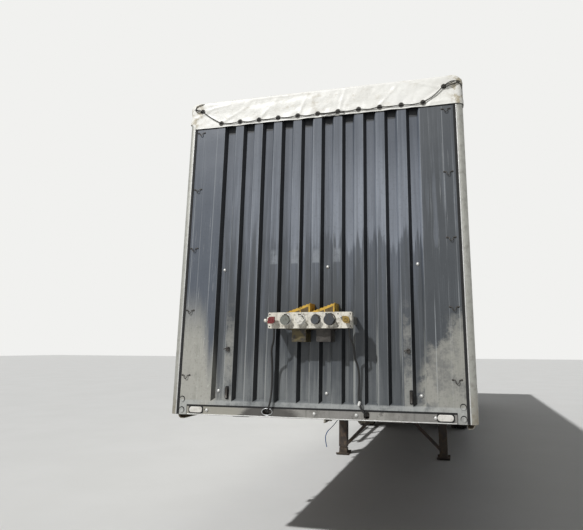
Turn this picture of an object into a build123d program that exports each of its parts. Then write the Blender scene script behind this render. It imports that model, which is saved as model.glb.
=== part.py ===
# Three-axle curtain-side semi trailer, uncoupled and standing on its landing legs.
# Millimetres. +X is to the right when facing the headboard, the headboard faces -Y, +Z is up.
# The origin is on the ground, in the middle of the whole trailer.

import os
from math import atan2, degrees, pi, radians, tan

from build123d import *

os.makedirs("parts", exist_ok=True)

# Driving dimensions of the whole trailer
seat_air = 0.3  # between two pieces that only lie against each other
length = 13600  # headboard's face to the axis of the rear door hinges
width = 2550
height = 4000
track = 2040  # between the middles of the tyres on one axle

# Places along the trailer, counted back from the headboard's face unless said otherwise
coupling_height = 1130  # underside of the skid plate
kingpin_y = 1610
axle_pitch = 1310
last_axle_set = 2980  # last axle, ahead of the door hinges
leg_y = 4640
neck_end_y = 2350
slope_end_y = 3050
tail_run = 1700  # start of the lighter tail, ahead of the door hinges

# Main members
skid_t = 8
skid_front_y = 260
skid_corner = 180
beam_set = 370  # beam's web, inward of the tyre's middle
beam_top = 1242
beam_depth = 400
beam_tail_depth = 240
tail_flat = 150
beam_front_y = 60
flange_w = 140
flange_t = 12
beam_web_t = 6
cross_first_y = 260
cross_last_set = 635  # last crossmember, ahead of the door hinges
cross_count = 22
cross_t = 8
channel_flange = 50
deck_t = 27

# Kingpin, by radius and height
pin_collar_r = 36.5
pin_neck_r = 25.4
pin_flange_r = 35.75
pin_collar_h = 35
pin_neck_h = 30
pin_flange_h = 19

# Side rails: an outer web, a seat for the deck and a strap hook along the lower edge
rail_out = 1252
rail_t = 8
rail_low = 1145
rail_rise = 16  # kick edge above the deck
rail_seat_w = 52
rail_seat_t = 8
hook_w = 64
hook_drop = 40  # the hook bends in below the web
hook_t = 6
bracket_rise = 34  # crossmember's bracket above the web's lower edge

# Headboard: a pressed sheet with its lining, posts at the corners and a rail below
post_set = 5  # post, inward of the trailer's side: the flap wraps round it
post_w = 65
post_d = 95
post_round = 45
post_t = 4
post_drop = 45  # top of the post, below the roof
groove_w = 5
headboard_low = 1225
headboard_t = 55
valley_count = 10
valley_pitch = 188
valley_w = 112
valley_deep = 38
valley_floor_w = 66
valley_low = 1262
front_rail_low = 1150
front_rail_t = 60
front_rail_half = 1115
rail_gap = 4
lamp_x = 1030
lamp_w = 120
lamp_h = 48
lamp_t = 16
lamp_pocket = 8
slot_z = 1192

# Connector panel: a folded box, stood off the headboard on two arms
panel_x = 12
panel_w = 685
panel_h = 125
panel_low = 1853
panel_d = 60
panel_t = 3
panel_gap = 145
panel_arm_h = 60
knob_r = 14
knob_long = 36
chock_long = 198
chock_h = 305
chock_low = 1750
chock_xs = (-200, 3)
chock_lean = 0.77  # height of its low end, as a share
chock_teeth = 7
tooth_h = 9
chock_foot_h = 95
chock_foot_in = (52, 30)  # foot, inward of the chock's ends

# Roof
flap_drop = 270  # flap's hem, below the roof
flap_t = 4.5
flap_top_t = 6
flap_air = 1.5  # between the flap and the sheet behind it
flap_round = 12  # roll of the flap over the roof's front edge
corner_drop = 30  # flap's upper corners, below the roof
corner_run = 45
cant_out = rail_out
cant_h = 135
cant_w = 52
bow_w = 40
bow_h = 40
bow_count = 20
skirt_drop = 110
skirt_t = 3.5
skirt_out = 1265
curtain_out = 1261
curtain_t = 6.5
curtain_low = 1180
curtain_drop = 60  # top of the curtain, below the roof

# Rear frame and doors
hinge_x = 1258  # axis of each door's hinges, from the middle
door_set = 45  # the door's rear face, forward of that axis
door_t = 30
door_edge = 14  # the door's edge, inward of the axis
door_gap = 10  # between the two doors
door_low = 1275
door_drop = 105  # top of the doors, below the roof
door_stile_w = 70
door_rail_h = 90
door_field = 5  # how deep the door's fields lie inside its frame
frame_clear = 6  # door's inner face to the frame
rear_post_w = 80
rear_post_d = 100
rear_post_out = 1249
header_drop = 160
sill_low = 1110
sill_set = 60
hinge_count = 5
hinge_low = 125  # first hinge, above the door's lower edge
hinge_high = 115  # last hinge, below its upper edge
knuckle_r = 11
knuckle_h = 34
knuckle_air = 0.5
pin_r = 7
pin_air = 0.3
pin_proud = 6
strap_w = 8
strap_long = 150
bracket_long = 60  # of the hinge bracket, on the post's outer face
bar_r = 13.5
bar_set = 27.5  # middle of the bar, forward of the hinge axis
bar_xs = (250, 930)
bar_low = 1195
bar_drop = 55  # top of the bars, below the roof
stand_count = 4
stand_low = 65  # first stand bracket, above the door's lower edge
stand_high = 95  # last one, below its upper edge
stand_w = 70
stand_h = 40
cam_h = 26
keeper_t = 8
keeper_gap = 8
handle_z = 1930
handle_long = 330
handle_h = 26
handle_t = 10
handle_set = 5  # handle's inner face, behind the bar's middle
bumper_z = 520
bumper_h = 120
bumper_t = 60
bumper_half = 1200
bumper_round = 14
strut_set = 20  # strut's rear face, forward of the rear frame
strut_w = 80
lamp_beam_h = 140
lamp_beam_t = 40
rear_lamp_w = 400
rear_lamp_t = 45
rear_lamp_in = 20
buffer_x = 1120
buffer_w = 110
buffer_h = 130
buffer_t = 48
buffer_low = 1118

# Running gear
tyre_r = 530
tyre_w = 385
tread_w = 280
shoulder_w = 330
shoulder_r = 505
wall_r = 420  # where the tyre is widest
bead_r = 286
seat_half = 150  # half the rim's seat
flange_edge_t = 12  # rim's edge flange
rim_lip_r = 298
rim_under_r = 274
disc_face = 120  # bolted face of the wheel disc, outward of the tyre's middle
disc_t = 14
disc_r = 208
hub_r = 118
cap_r = 95
cap_reach = 180
drum_gap = 95
hub_flange_r = 150
hole_count = 10
hole_ring_r = 241
hole_r = 22
spindle_r = 45
spindle_clear = 0.3
spindle_in = 60
spindle_out = 55  # end of the spindle, outward of the tyre's middle
axle_box = 150
drum_r = 205
drum_in = 300  # inner and outer face of the brake drum, inward of the tyre's middle
drum_out = 200
chamber_in = 220  # brake chamber, inward of the trailing arm's middle
chamber_arm = 45  # between the axle beam and the chamber
chamber_steps = ((0, 45, 70), (45, 70, 88), (70, 160, 80), (160, 185, 62))  # start, end, radius
arm_w = 100
arm_air = 1  # each side of the arm in its hanger
hanger_ahead = 500
hanger_wall = 15
hanger_long = 150
hanger_drop = 60
eye_rise = 65  # pivot of the arm, above the axle beam
eye_r = 15
eye_air = 0.3
arm_front = 45
arm_tail_t = 20
bag_behind = 385
arm_tail = 140  # the arm's tail, before and behind the air bag's middle
bag_outline = (  # radius, share of the height
    (80, 0), (95, 0.22), (112, 0.25), (140, 0.33), (146, 0.43), (138, 0.54), (118, 0.6),
    (138, 0.66), (146, 0.77), (138, 0.88), (112, 0.95), (112, 1),
)
mudguard_r = 574
mudguard_t = 4
mudguard_w = 420
mudguard_half_angle = 62
stay_r = 15
stay_angles = (40, 140)  # round the wheel, from level

# Landing gear, side guards and air tanks
leg_set = 158  # leg's middle, outward of the beam's web
leg_box = 130
leg_inner = 104
leg_plate_w = 240
leg_box_low = 120
foot_w = 200
foot_long = 260
foot_t = 12
foot_rise = 30  # turned-up ends of the foot
foot_bend = 40
foot_lug_h = 90
foot_lug_t = 12
gear_w = 160
gear_h = 230
gear_d = 85
crank_r = 11
crank_reach = 120
crank_drop = 260
shaft_r = 20
shaft_z = 790
brace_low = 130  # lower end of each brace, up the leg
brace_high = 860  # where the two braces meet, below the cross bar
brace_h = 70
brace_t = 8
brace_ahead = 45
guard_out = 1252
guard_t = 30
guard_h = 110
guard_groove_w = 16
guard_groove = 5
guard_zs = (470, 800)
guard_front_y = 5000
guard_axle_gap = 850  # rear end of the guard, ahead of the first axle
guard_end = 300  # first and last post, from the guard's ends
guard_post_t = 40
guard_post_w = 60
tank_r = 125
tank_long = 1080
tank_lug = 50
tank_ys = (5000, 5400)
tank_z = 960

# Places that follow from the sizes above
coupling_reach = 55
front_reach = panel_gap + panel_d + coupling_reach
rear_reach = knuckle_r
front = (front_reach - length - rear_reach) / 2
rear = front + length
axle_ys = [length - last_axle_set - axle_pitch * (2 - i) for i in range(3)]
beam_x = track / 2 - beam_set
leg_x = beam_x + leg_set
post_out = width / 2 - post_set
deck_top = beam_top + deck_t
roof_under = height - flap_top_t
post_high = roof_under - post_drop
flap_back = post_d
flap_low = height - flap_drop
curtain_high = height - curtain_drop
door_high = height - door_drop
header_low = height - header_drop
bar_high = height - bar_drop
headboard_half = post_out - post_w - groove_w
post_back = front + post_d
door_face = rear - door_set
door_inner = door_face - door_t
frame_rear = door_inner - frame_clear
frame_front = frame_rear - rear_post_d
hook_low = rail_low - hook_drop
beam_low = beam_top - beam_depth
tail_low = beam_top - beam_tail_depth
bracket_front = frame_rear - bracket_long
curtain_rear = bracket_front - 10
rim_half = seat_half + flange_edge_t


def evenly(first, last, count):
    """Places from the first to the last, evenly apart."""
    return [first + (last - first) * i / (count - 1) for i in range(count)]


hinge_zs = evenly(door_low + hinge_low, door_high - hinge_high, hinge_count)
stand_zs = evenly(door_low + stand_low, door_high - stand_high, stand_count)
guard_rear_y = axle_ys[0] - guard_axle_gap
guard_post_ys = evenly(guard_front_y + guard_end, guard_rear_y - guard_end, 3)
cross_ys = evenly(cross_first_y, length - cross_last_set, cross_count)


def station(y):
    """Cross-section plane at a distance y behind the headboard; extrude by a minus amount to go back."""
    return Plane.XZ.offset(-(front + y))


def left_of(part):
    """The same piece on the other side of the trailer."""
    return mirror(part, about=Plane.YZ)


def save(part, name):
    part.label = name
    export_step(part, f"parts/{name}.step")


# Main beam: an I-section with a gooseneck over the tractor and a lighter tail
beam_outline = (  # y, z
    (front + beam_front_y, beam_top),
    (frame_front, beam_top),
    (frame_front, tail_low),
    (frame_front - tail_flat, tail_low),
    (front + length - tail_run, beam_low),
    (front + slope_end_y, beam_low),
    (front + neck_end_y, coupling_height + skid_t),
    (front + beam_front_y, coupling_height + skid_t),
)
with BuildPart() as main_beam:
    with BuildSketch(Plane.YZ.offset(beam_x)):
        with BuildLine():
            Polyline(*beam_outline, close=True)
        make_face()
    extrude(amount=flange_w / 2, both=True)
    for side in (-1, 1):
        with BuildSketch(Plane.YZ.offset(beam_x + side * beam_web_t / 2)):
            with BuildLine():
                Polyline(*beam_outline, close=True)
            make_face()
            offset(amount=-flange_t, kind=Kind.INTERSECTION, mode=Mode.REPLACE)
        extrude(amount=side * flange_w, mode=Mode.SUBTRACT)
save(main_beam.part, "main_beam_right")
save(left_of(main_beam.part), "main_beam_left")

# Crossmembers: a tapered bracket outside each beam and a channel between the beams
web_face = beam_x + beam_web_t / 2
inner_web = beam_x - beam_web_t / 2
flange_edge = beam_x + flange_w / 2
seat_in = rail_out - rail_t - rail_seat_w
channel_low = coupling_height + skid_t + flange_t
channel_high = beam_top - flange_t
bracket_low = rail_low + bracket_rise
bracket = (  # x, z
    (web_face, channel_low),
    (flange_edge, channel_low),
    (rail_out - hook_w, bracket_low),
    (rail_out - rail_t, bracket_low),
    (rail_out - rail_t, beam_top - rail_seat_t),
    (seat_in, beam_top - rail_seat_t),
    (seat_in, beam_top),
    (flange_edge, beam_top),
    (flange_edge, channel_high),
    (web_face, channel_high),
)
with BuildPart() as crossmembers:
    for y in cross_ys:
        with BuildSketch(station(y)):
            for side in (-1, 1):
                with BuildLine():
                    Polyline(*[(side * x, z) for x, z in bracket], close=True)
                make_face()
            with Locations((0, (channel_low + channel_high) / 2)):
                Rectangle(2 * inner_web, channel_high - channel_low)
        extrude(amount=-cross_t)
        with BuildSketch(station(y + cross_t)):
            for z in (channel_low + cross_t / 2, channel_high - cross_t / 2):
                with Locations((0, z)):
                    Rectangle(2 * inner_web, cross_t)
        extrude(amount=-channel_flange)
save(crossmembers.part, "crossmembers")

# Skid plate, its front corners cut off, and the kingpin below it
skid_half = flange_edge
with BuildPart() as skid_plate:
    with BuildSketch(Plane.XY.offset(coupling_height)) as skid_outline:
        with Locations((0, front + (skid_front_y + neck_end_y) / 2)):
            Rectangle(2 * skid_half, neck_end_y - skid_front_y)
        chamfer(skid_outline.vertices().group_by(Axis.Y)[0], skid_corner)
    extrude(amount=skid_t)
save(skid_plate.part, "skid_plate")

pin_low = pin_collar_h + pin_neck_h + pin_flange_h
kingpin_outline = (  # radius, height above the skid plate's underside
    (0, 0),
    (pin_collar_r, 0),
    (pin_collar_r, -pin_collar_h),
    (pin_neck_r, -pin_collar_h),
    (pin_neck_r, pin_flange_h - pin_low),
    (pin_flange_r, pin_flange_h - pin_low),
    (pin_flange_r, -pin_low),
    (0, -pin_low),
)
with BuildPart() as kingpin:
    with BuildSketch(station(kingpin_y)):
        with BuildLine():
            Polyline(*[(r, coupling_height + z) for r, z in kingpin_outline], close=True)
        make_face()
    revolve(axis=Axis((0, front + kingpin_y, 0), (0, 0, 1)))
save(kingpin.part, "kingpin")

# Deck, from the headboard to the rear frame
deck_front = front + headboard_t
deck_half = rail_out - rail_t
with BuildPart() as floor_deck:
    with BuildSketch(Plane.XY.offset(beam_top)):
        with Locations((0, (post_back + frame_front) / 2)):
            Rectangle(2 * deck_half, frame_front - post_back)
        with Locations((0, (deck_front + post_back) / 2)):
            Rectangle(2 * headboard_half, post_back - deck_front)
    extrude(amount=deck_t)
save(floor_deck.part, "floor_deck")

# Side rail: web, deck seat and strap hook in one profile
with BuildPart() as side_rail:
    with BuildSketch(station(post_d)):
        web_in = rail_out - rail_t
        with BuildLine():
            Polyline(
                (rail_out, rail_low),
                (rail_out, deck_top + rail_rise),
                (web_in, deck_top + rail_rise),
                (web_in, beam_top),
                (seat_in, beam_top),
                (seat_in, beam_top - rail_seat_t),
                (web_in, beam_top - rail_seat_t),
                (web_in, rail_low),
                (rail_out - hook_w / 3, hook_low + hook_t + hook_drop / 5),
                (rail_out - hook_w / 2, hook_low + hook_t),
                (rail_out - hook_w, hook_low + hook_t),
                (rail_out - hook_w, hook_low),
                (rail_out - hook_w / 2, hook_low),
                (rail_out - hook_w / 4, hook_low + hook_drop / 5),
                close=True,
            )
        make_face()
    extrude(amount=-(frame_front - post_back))
save(side_rail.part, "side_rail_right")
save(left_of(side_rail.part), "side_rail_left")

# Headboard: one pressed sheet whose valleys run out in slanted ends, with a strip down each side of the rail
valley_height = 2 * height
valley_draft = degrees(atan2((valley_w - valley_floor_w) / 2, valley_deep))
with BuildPart() as headboard:
    with BuildSketch(Plane.XY.offset(headboard_low)):
        with Locations((0, front + headboard_t / 2)):
            Rectangle(2 * headboard_half, headboard_t)
    extrude(amount=roof_under - headboard_low)
    strip_in = front_rail_half + rail_gap
    with BuildSketch(Plane.XY.offset(front_rail_low)):
        for side in (-1, 1):
            with Locations((side * (strip_in + headboard_half) / 2, front + headboard_t / 2)):
                Rectangle(headboard_half - strip_in, headboard_t)
    extrude(amount=headboard_low - front_rail_low)
    with BuildSketch(Plane.XZ.offset(-front)):
        with Locations((0, valley_low + valley_height / 2)):
            with GridLocations(valley_pitch, 1, valley_count, 1):
                Rectangle(valley_w, valley_height)
    extrude(amount=-valley_deep, taper=valley_draft, mode=Mode.SUBTRACT)
save(headboard.part, "headboard")

# Corner post: a hollow profile with a rounded outer edge
with BuildPart() as corner_post:
    with BuildSketch(Plane.XY.offset(front_rail_low)) as post_profile:
        with Locations((post_out - post_w / 2, front + post_d / 2)):
            Rectangle(post_w, post_d)
        fillet(post_profile.vertices().group_by(Axis.X)[-1].sort_by(Axis.Y)[0], post_round)
        offset(amount=-post_t, kind=Kind.INTERSECTION, mode=Mode.SUBTRACT)
    extrude(amount=post_high - front_rail_low)
save(corner_post.part, "corner_post_right")
save(left_of(corner_post.part), "corner_post_left")

# Rail below the headboard, with two slots for the cables and a pocket for each marker lamp
cable_slots = ((-395, 80, 44), (427, 48, 60))  # x, width, height
front_rail_h = headboard_low - rail_gap - front_rail_low
lamp_round = lamp_h / 2 - 1
with BuildPart() as front_rail:
    with BuildSketch(Plane.XZ.offset(-front)):
        with Locations((0, front_rail_low + front_rail_h / 2)):
            Rectangle(2 * front_rail_half, front_rail_h)
        for x, slot_w, slot_h in cable_slots:
            with Locations((x, slot_z)):
                RectangleRounded(slot_w, slot_h, min(slot_w, slot_h) / 2 - 1, mode=Mode.SUBTRACT)
    extrude(amount=-front_rail_t)
    with BuildSketch(Plane.XZ.offset(-front)):
        for side in (-1, 1):
            with Locations((side * lamp_x, slot_z)):
                RectangleRounded(lamp_w + 2 * seat_air, lamp_h + 2 * seat_air, lamp_round)
    extrude(amount=-lamp_pocket, mode=Mode.SUBTRACT)
save(front_rail.part, "front_rail")

# White marker lamps in those pockets
for name, side in (("left", -1), ("right", 1)):
    with BuildPart() as marker_lamp:
        with BuildSketch(Plane.XZ.offset(-(front + lamp_pocket - seat_air))):
            with Locations((side * lamp_x, slot_z)):
                RectangleRounded(lamp_w, lamp_h, lamp_round)
        extrude(amount=lamp_t)
        lens_face = marker_lamp.faces().sort_by(Axis.Y)[0]
        fillet(lens_face.edges(), 5)
    save(marker_lamp.part, f"marker_lamp_{name}")

# Connector panel: a box open at the back, on two arms that reach back to the crests of the sheet
panel_front = front - panel_gap - panel_d
panel_mid_z = panel_low + panel_h / 2
arm_spans = ((-352, -322), (338, 354))  # each starts on a crest of the sheet
with BuildPart() as connector_panel:
    with BuildSketch(Plane.XZ.offset(-(panel_front + panel_d))):
        with Locations((panel_x, panel_mid_z)):
            RectangleRounded(panel_w, panel_h, 8)
    extrude(amount=panel_d)
    with BuildSketch(Plane.XZ.offset(-(panel_front + panel_d))):
        with Locations((panel_x, panel_mid_z)):
            RectangleRounded(panel_w - 2 * panel_t, panel_h - 2 * panel_t, 5)
    extrude(amount=panel_d - panel_t, mode=Mode.SUBTRACT)
    with BuildSketch(Plane.XZ.offset(-front)):
        for arm_left, arm_right in arm_spans:
            with Locations(((arm_left + arm_right) / 2, panel_mid_z)):
                Rectangle(arm_right - arm_left, panel_arm_h)
    extrude(amount=panel_gap + panel_d / 2)
save(connector_panel.part, "connector_panel")

# Air couplings near the ends of the panel: a neck, a round head with a flat beside it, and a sealing ring
coupling_xs = (-290, 318)
neck_r = 17
head_r = 27
head_t = 24
seal_r = 15
seal_t = 4
with BuildPart() as air_couplings:
    neck_end = panel_front - coupling_reach + seal_t + head_t
    for x, flat_side in zip(coupling_xs, (1, -1)):
        with BuildSketch(Plane.XZ.offset(-(panel_front - seat_air))):
            with Locations((x, panel_mid_z)):
                Circle(neck_r)
        extrude(amount=panel_front - seat_air - neck_end)
        with BuildSketch(Plane.XZ.offset(-neck_end)):
            with Locations((x, panel_mid_z)):
                Circle(head_r)
            with Locations((x + flat_side * head_r / 2, panel_mid_z + head_r / 2)):
                Rectangle(head_r, head_r)
            with Locations((x - flat_side * head_r / 2, panel_mid_z - head_r / 2)):
                Rectangle(head_r, head_r)
        extrude(amount=head_t)
        with BuildSketch(Plane.XZ.offset(-(neck_end - head_t))):
            with Locations((x, panel_mid_z)):
                Circle(seal_r)
                Circle(seal_r - 5, mode=Mode.SUBTRACT)
        extrude(amount=seal_t)
    # White push-pull knob on the panel's left end
    knob_y = panel_front + knob_r
    with BuildSketch(Plane.YZ.offset(panel_x - panel_w / 2 - seat_air)):
        with Locations((knob_y, panel_mid_z)):
            Circle(knob_r / 2)
    extrude(amount=-knob_long / 2)
    with BuildSketch(Plane.YZ.offset(panel_x - panel_w / 2 - seat_air - knob_long / 2)):
        with Locations((knob_y, panel_mid_z)):
            Circle(knob_r)
    extrude(amount=-knob_long / 2)
save(air_couplings.part, "air_couplings")

# Electric sockets: a barrel, a wider lid and a hinge on top; the last has two ears on its hinge
sockets = (  # x, barrel's radius, reach, lid's radius, ears
    (-180, 33, 42, 37, 0),
    (-60, 31, 38, 34, 0),
    (66, 29, 36, 32, 0),
    (180, 36, 44, 40, 2),
)
lid_t = 7
hinge_h = 12
with BuildPart() as power_sockets:
    for x, barrel_r, reach, lid_r, ears in sockets:
        with BuildSketch(Plane.XZ.offset(-(panel_front - seat_air))):
            with Locations((x, panel_mid_z)):
                Circle(barrel_r)
        extrude(amount=reach - lid_t)
        with BuildSketch(Plane.XZ.offset(-(panel_front - reach + lid_t + seat_air))):
            with Locations((x, panel_mid_z)):
                Circle(lid_r)
            with Locations((x, panel_mid_z + lid_r - hinge_h / 4)):
                Rectangle(lid_r, hinge_h)
            with Locations((x + lid_r, panel_mid_z)):
                Rectangle(hinge_h, hinge_h)
            if ears:
                with Locations((x, panel_mid_z + lid_r)):
                    with GridLocations(lid_r, 1, ears, 1):
                        Rectangle(hinge_h, 2 * hinge_h)
        extrude(amount=lid_t)
save(power_sockets.part, "power_sockets")

# Supply cables, from under the panel down into the slots of the rail below, and a hose under the front
# x, distance ahead of the headboard, z
cord_routes = {
    "supply_cable_left": (
        (-290, 172, panel_low), (-290, 172, 1808), (-300, 146, 1755), (-338, 94, 1690), (-348, 46, 1610), (-350, 26, 1520),
        (-350, 22, 1430), (-352, 24, 1340), (-360, 34, 1262), (-376, 30, 1215), (-388, 0, 1192),
    ),
    "supply_cable_right": (
        (325, 172, panel_low), (325, 172, 1792), (350, 146, 1740), (354, 104, 1680), (350, 66, 1620), (370, 40, 1560),
        (378, 24, 1470), (370, 22, 1380), (368, 24, 1310), (384, 36, 1252), (414, 32, 1212), (427, 0, 1192),
    ),
    "air_hose": (
        (-330, -2712, channel_low), (-330, -2712, 1060), (-352, -2704, 940), (-418, -2696, 830), (-500, -2692, 716),
        (-592, -2690, 640), (-616, -2690, 545), (-588, -2690, 451),
    ),
}
cord_radii = {"supply_cable_left": 8, "supply_cable_right": 8, "air_hose": 6}


def corner_radii(points):
    """The largest tangent arc at each inner point: 0.45 of the shorter run over the tangent of half the turn."""
    radii = []
    for before, at, after in zip(points, points[1:], points[2:]):
        run_in = Vector(*at) - Vector(*before)
        run_out = Vector(*after) - Vector(*at)
        half_turn = radians(run_in.get_angle(run_out) / 2)
        radii.append(0.45 * min(run_in.length, run_out.length) / tan(half_turn))
    return radii


for name, route in cord_routes.items():
    points = [(x, front - ahead, z) for x, ahead, z in route]
    radii = corner_radii(points)
    print(name, "radii", [round(r) for r in radii])
    with BuildPart() as cord:
        with BuildLine() as path:
            FilletPolyline(*points, radius=radii)
        with BuildSketch(path.line ^ 0):
            Circle(cord_radii[name])
        sweep(path=path.line)
    cord_length = sum(edge.length for edge in path.line.edges())
    print("  length", round(cord_length), "volume ratio", round(cord.part.volume / (pi * cord_radii[name]**2 * cord_length), 4))
    save(cord.part, name)

# Two wheel chocks parked between the panel and the headboard: a toothed slope on a narrower foot
foot_left = chock_foot_in[0]
foot_right = chock_foot_in[1]
tooth_run = chock_long / chock_teeth
slope_drop = (1 - chock_lean) * chock_h
chock_outline = [
    (foot_left, 0),
    (chock_long - foot_right, 0),
    (chock_long - foot_right, chock_foot_h),
    (chock_long, chock_foot_h),
]
for i in range(chock_teeth):
    fall = slope_drop * i / chock_teeth
    chock_outline.append((chock_long - tooth_run * i, chock_h - fall))
    chock_outline.append((chock_long - tooth_run * i - tooth_h, chock_h - fall - tooth_h))
chock_outline.append((0, chock_lean * chock_h))
chock_outline.append((0, chock_foot_h))
chock_outline.append((foot_left, chock_foot_h))
with BuildPart() as wheel_chocks:
    for x0 in chock_xs:
        with BuildSketch(Plane.XZ.offset(-(front - seat_air))):
            with BuildLine():
                Polyline(*[(x0 + x, chock_low + z) for x, z in chock_outline], close=True)
            make_face()
        extrude(amount=panel_gap - 2 * seat_air)
save(wheel_chocks.part, "wheel_chocks")

# Cant rails under the roof's edges
with BuildPart() as cant_rail:
    with BuildSketch(station(post_d)):
        with Locations((cant_out - cant_w / 2, roof_under - cant_h / 2)):
            Rectangle(cant_w, cant_h)
    extrude(amount=-(frame_front - post_back))
save(cant_rail.part, "cant_rail_right")
save(left_of(cant_rail.part), "cant_rail_left")

# Roof bows between the cant rails
bow_pitch = (frame_front - post_back) / (bow_count + 1)
with BuildPart() as roof_bows:
    with BuildSketch(Plane.XY.offset(roof_under - bow_h)):
        with Locations((0, (post_back + frame_front) / 2)):
            with GridLocations(1, bow_pitch, 1, bow_count):
                Rectangle(2 * (cant_out - cant_w), bow_w)
    extrude(amount=bow_h)
save(roof_bows.part, "roof_bows")

# Roof cloth with a skirt over each side
with BuildPart() as roof_sheet:
    with BuildSketch(station(flap_back)):
        with Locations((0, height - skirt_drop / 2)):
            Rectangle(2 * skirt_out, skirt_drop)
        with Locations((0, (roof_under + height - skirt_drop) / 2)):
            Rectangle(2 * (skirt_out - skirt_t), roof_under - height + skirt_drop, mode=Mode.SUBTRACT)
    extrude(amount=-(frame_rear - front - flap_back))
save(roof_sheet.part, "roof_sheet")

# Front flap: cloth laced down over the top of the headboard and round both posts, low at its corners
flap_front = front - flap_air - flap_t
with BuildPart() as roof_flap:
    with BuildSketch(Plane.XY.offset(flap_low)) as flap_outer:
        with Locations((0, (flap_front + front + flap_back) / 2)):
            Rectangle(width, front + flap_back - flap_front)
        fillet(flap_outer.vertices().group_by(Axis.Y)[0], post_round + flap_t)
    extrude(amount=height - flap_low)
    top_edges = roof_flap.faces().sort_by(Axis.Z)[-1].edges()
    fillet(top_edges.filter_by(Axis.X).sort_by(Axis.Y)[0], flap_round)
    with BuildSketch(Plane.XY.offset(flap_low)) as flap_inner:
        with Locations((0, front - flap_air + (flap_back + flap_air) / 2)):
            Rectangle(width - 2 * flap_t, flap_back + flap_air)
        fillet(flap_inner.vertices().group_by(Axis.Y)[0], post_round)
    extrude(amount=roof_under - flap_low, mode=Mode.SUBTRACT)
    # The bevel at the upper corners, and the wall below it
    for side in (-1, 1):
        bevel = ((width / 2, height - corner_drop), (width / 2, height), (width / 2 - corner_run, height))
        with BuildSketch(Plane.XZ.offset(-(front + flap_back))):
            with BuildLine():
                Polyline(*[(side * x, z) for x, z in bevel], close=True)
            make_face()
        extrude(amount=front + flap_back - flap_front, mode=Mode.SUBTRACT)
save(roof_flap.part, "roof_flap")

# Side curtains, stretched from the cant rail to the side rail
with BuildPart() as curtain:
    with BuildSketch(Plane.YZ.offset(curtain_out - curtain_t)):
        with Locations(((post_back + curtain_rear) / 2, (curtain_low + curtain_high) / 2)):
            Rectangle(curtain_rear - post_back, curtain_high - curtain_low)
    extrude(amount=curtain_t)
save(curtain.part, "curtain_right")
save(left_of(curtain.part), "curtain_left")

# Rear frame: two posts, a header and a sill, with the hinge brackets, pins and bar keepers on it
post_mid = rear_post_out - rear_post_w / 2
with BuildPart() as rear_frame:
    with BuildSketch(Plane.XZ.offset(-frame_front)):
        for side in (-1, 1):
            with Locations((side * post_mid, (sill_low + roof_under) / 2)):
                Rectangle(rear_post_w, roof_under - sill_low)
        with Locations((0, (header_low + roof_under) / 2)):
            Rectangle(2 * rear_post_out, roof_under - header_low)
    extrude(amount=-rear_post_d)
    with BuildSketch(Plane.XZ.offset(-frame_front)):
        with Locations((0, (sill_low + deck_top) / 2)):
            Rectangle(2 * rear_post_out, deck_top - sill_low)
    extrude(amount=-(rear - sill_set - frame_front))
    # Hinge brackets, an ear and a pin at each height
    for side in (-1, 1):
        for z in hinge_zs:
            with BuildSketch(Plane.XY.offset(z - 1.5 * knuckle_h)):
                with Locations((side * (rear_post_out + strap_w / 2), (bracket_front + rear) / 2)):
                    Rectangle(strap_w, rear - bracket_front)
                with Locations((side * hinge_x, rear)):
                    Circle(knuckle_r)
            extrude(amount=knuckle_h - knuckle_air)
            with BuildSketch(Plane.XY.offset(z - 1.5 * knuckle_h)):
                with Locations((side * hinge_x, rear)):
                    Circle(pin_r)
            extrude(amount=2 * knuckle_h + pin_proud)
    # Keepers for the locking bars, open to the rear
    for x in bar_xs:
        for side in (-1, 1):
            for near in (-1, 1):
                keeper_x = side * x + near * (bar_r + keeper_gap + keeper_t / 2)
                with BuildSketch(Plane.XZ.offset(-frame_rear)):
                    with Locations((keeper_x, bar_high - cam_h / 2)):
                        Rectangle(keeper_t, cam_h)
                extrude(amount=-(door_set + door_t + frame_clear - bar_set + bar_r))
                with BuildSketch(Plane.XZ.offset(-(rear - sill_set))):
                    with Locations((keeper_x, bar_low + cam_h / 2)):
                        Rectangle(keeper_t, cam_h)
                extrude(amount=-(sill_set - bar_set + bar_r))
save(rear_frame.part, "rear_frame")

# Rear doors: fields sunk between stiles under the bars, and hinge straps cranked out to the pins
door_right = hinge_x - door_edge
stile_xs = (door_gap / 2 + door_stile_w / 2, *bar_xs, door_right - door_stile_w / 2)
with BuildPart() as rear_door:
    with BuildSketch(Plane.XZ.offset(-door_inner)):
        with Locations(((door_gap / 2 + door_right) / 2, (door_low + door_high) / 2)):
            Rectangle(door_right - door_gap / 2, door_high - door_low)
    extrude(amount=-door_t)
    with BuildSketch(Plane.XZ.offset(-door_face)):
        for stile, next_stile in zip(stile_xs, stile_xs[1:]):
            with Locations(((stile + next_stile) / 2, (door_low + door_high) / 2)):
                Rectangle(next_stile - stile - door_stile_w, door_high - door_low - 2 * door_rail_h)
    extrude(amount=door_field, mode=Mode.SUBTRACT)
    for z in hinge_zs:
        with BuildSketch(Plane.XY.offset(z - knuckle_h / 2 + knuckle_air)):
            with Locations((door_right - strap_long / 2, door_face + strap_w / 2)):
                Rectangle(strap_long, strap_w)
            with Locations((door_right - strap_w / 2, (door_face + rear) / 2)):
                Rectangle(strap_w, door_set)
            with Locations((hinge_x - door_edge / 2, rear)):
                Rectangle(door_edge, 2 * (knuckle_r - 3))
            with Locations((hinge_x, rear)):
                Circle(knuckle_r)
            with Locations((hinge_x, rear)):
                Circle(pin_r + pin_air, mode=Mode.SUBTRACT)
        extrude(amount=knuckle_h - knuckle_air)
save(rear_door.part, "rear_door_right")
save(left_of(rear_door.part), "rear_door_left")

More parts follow.
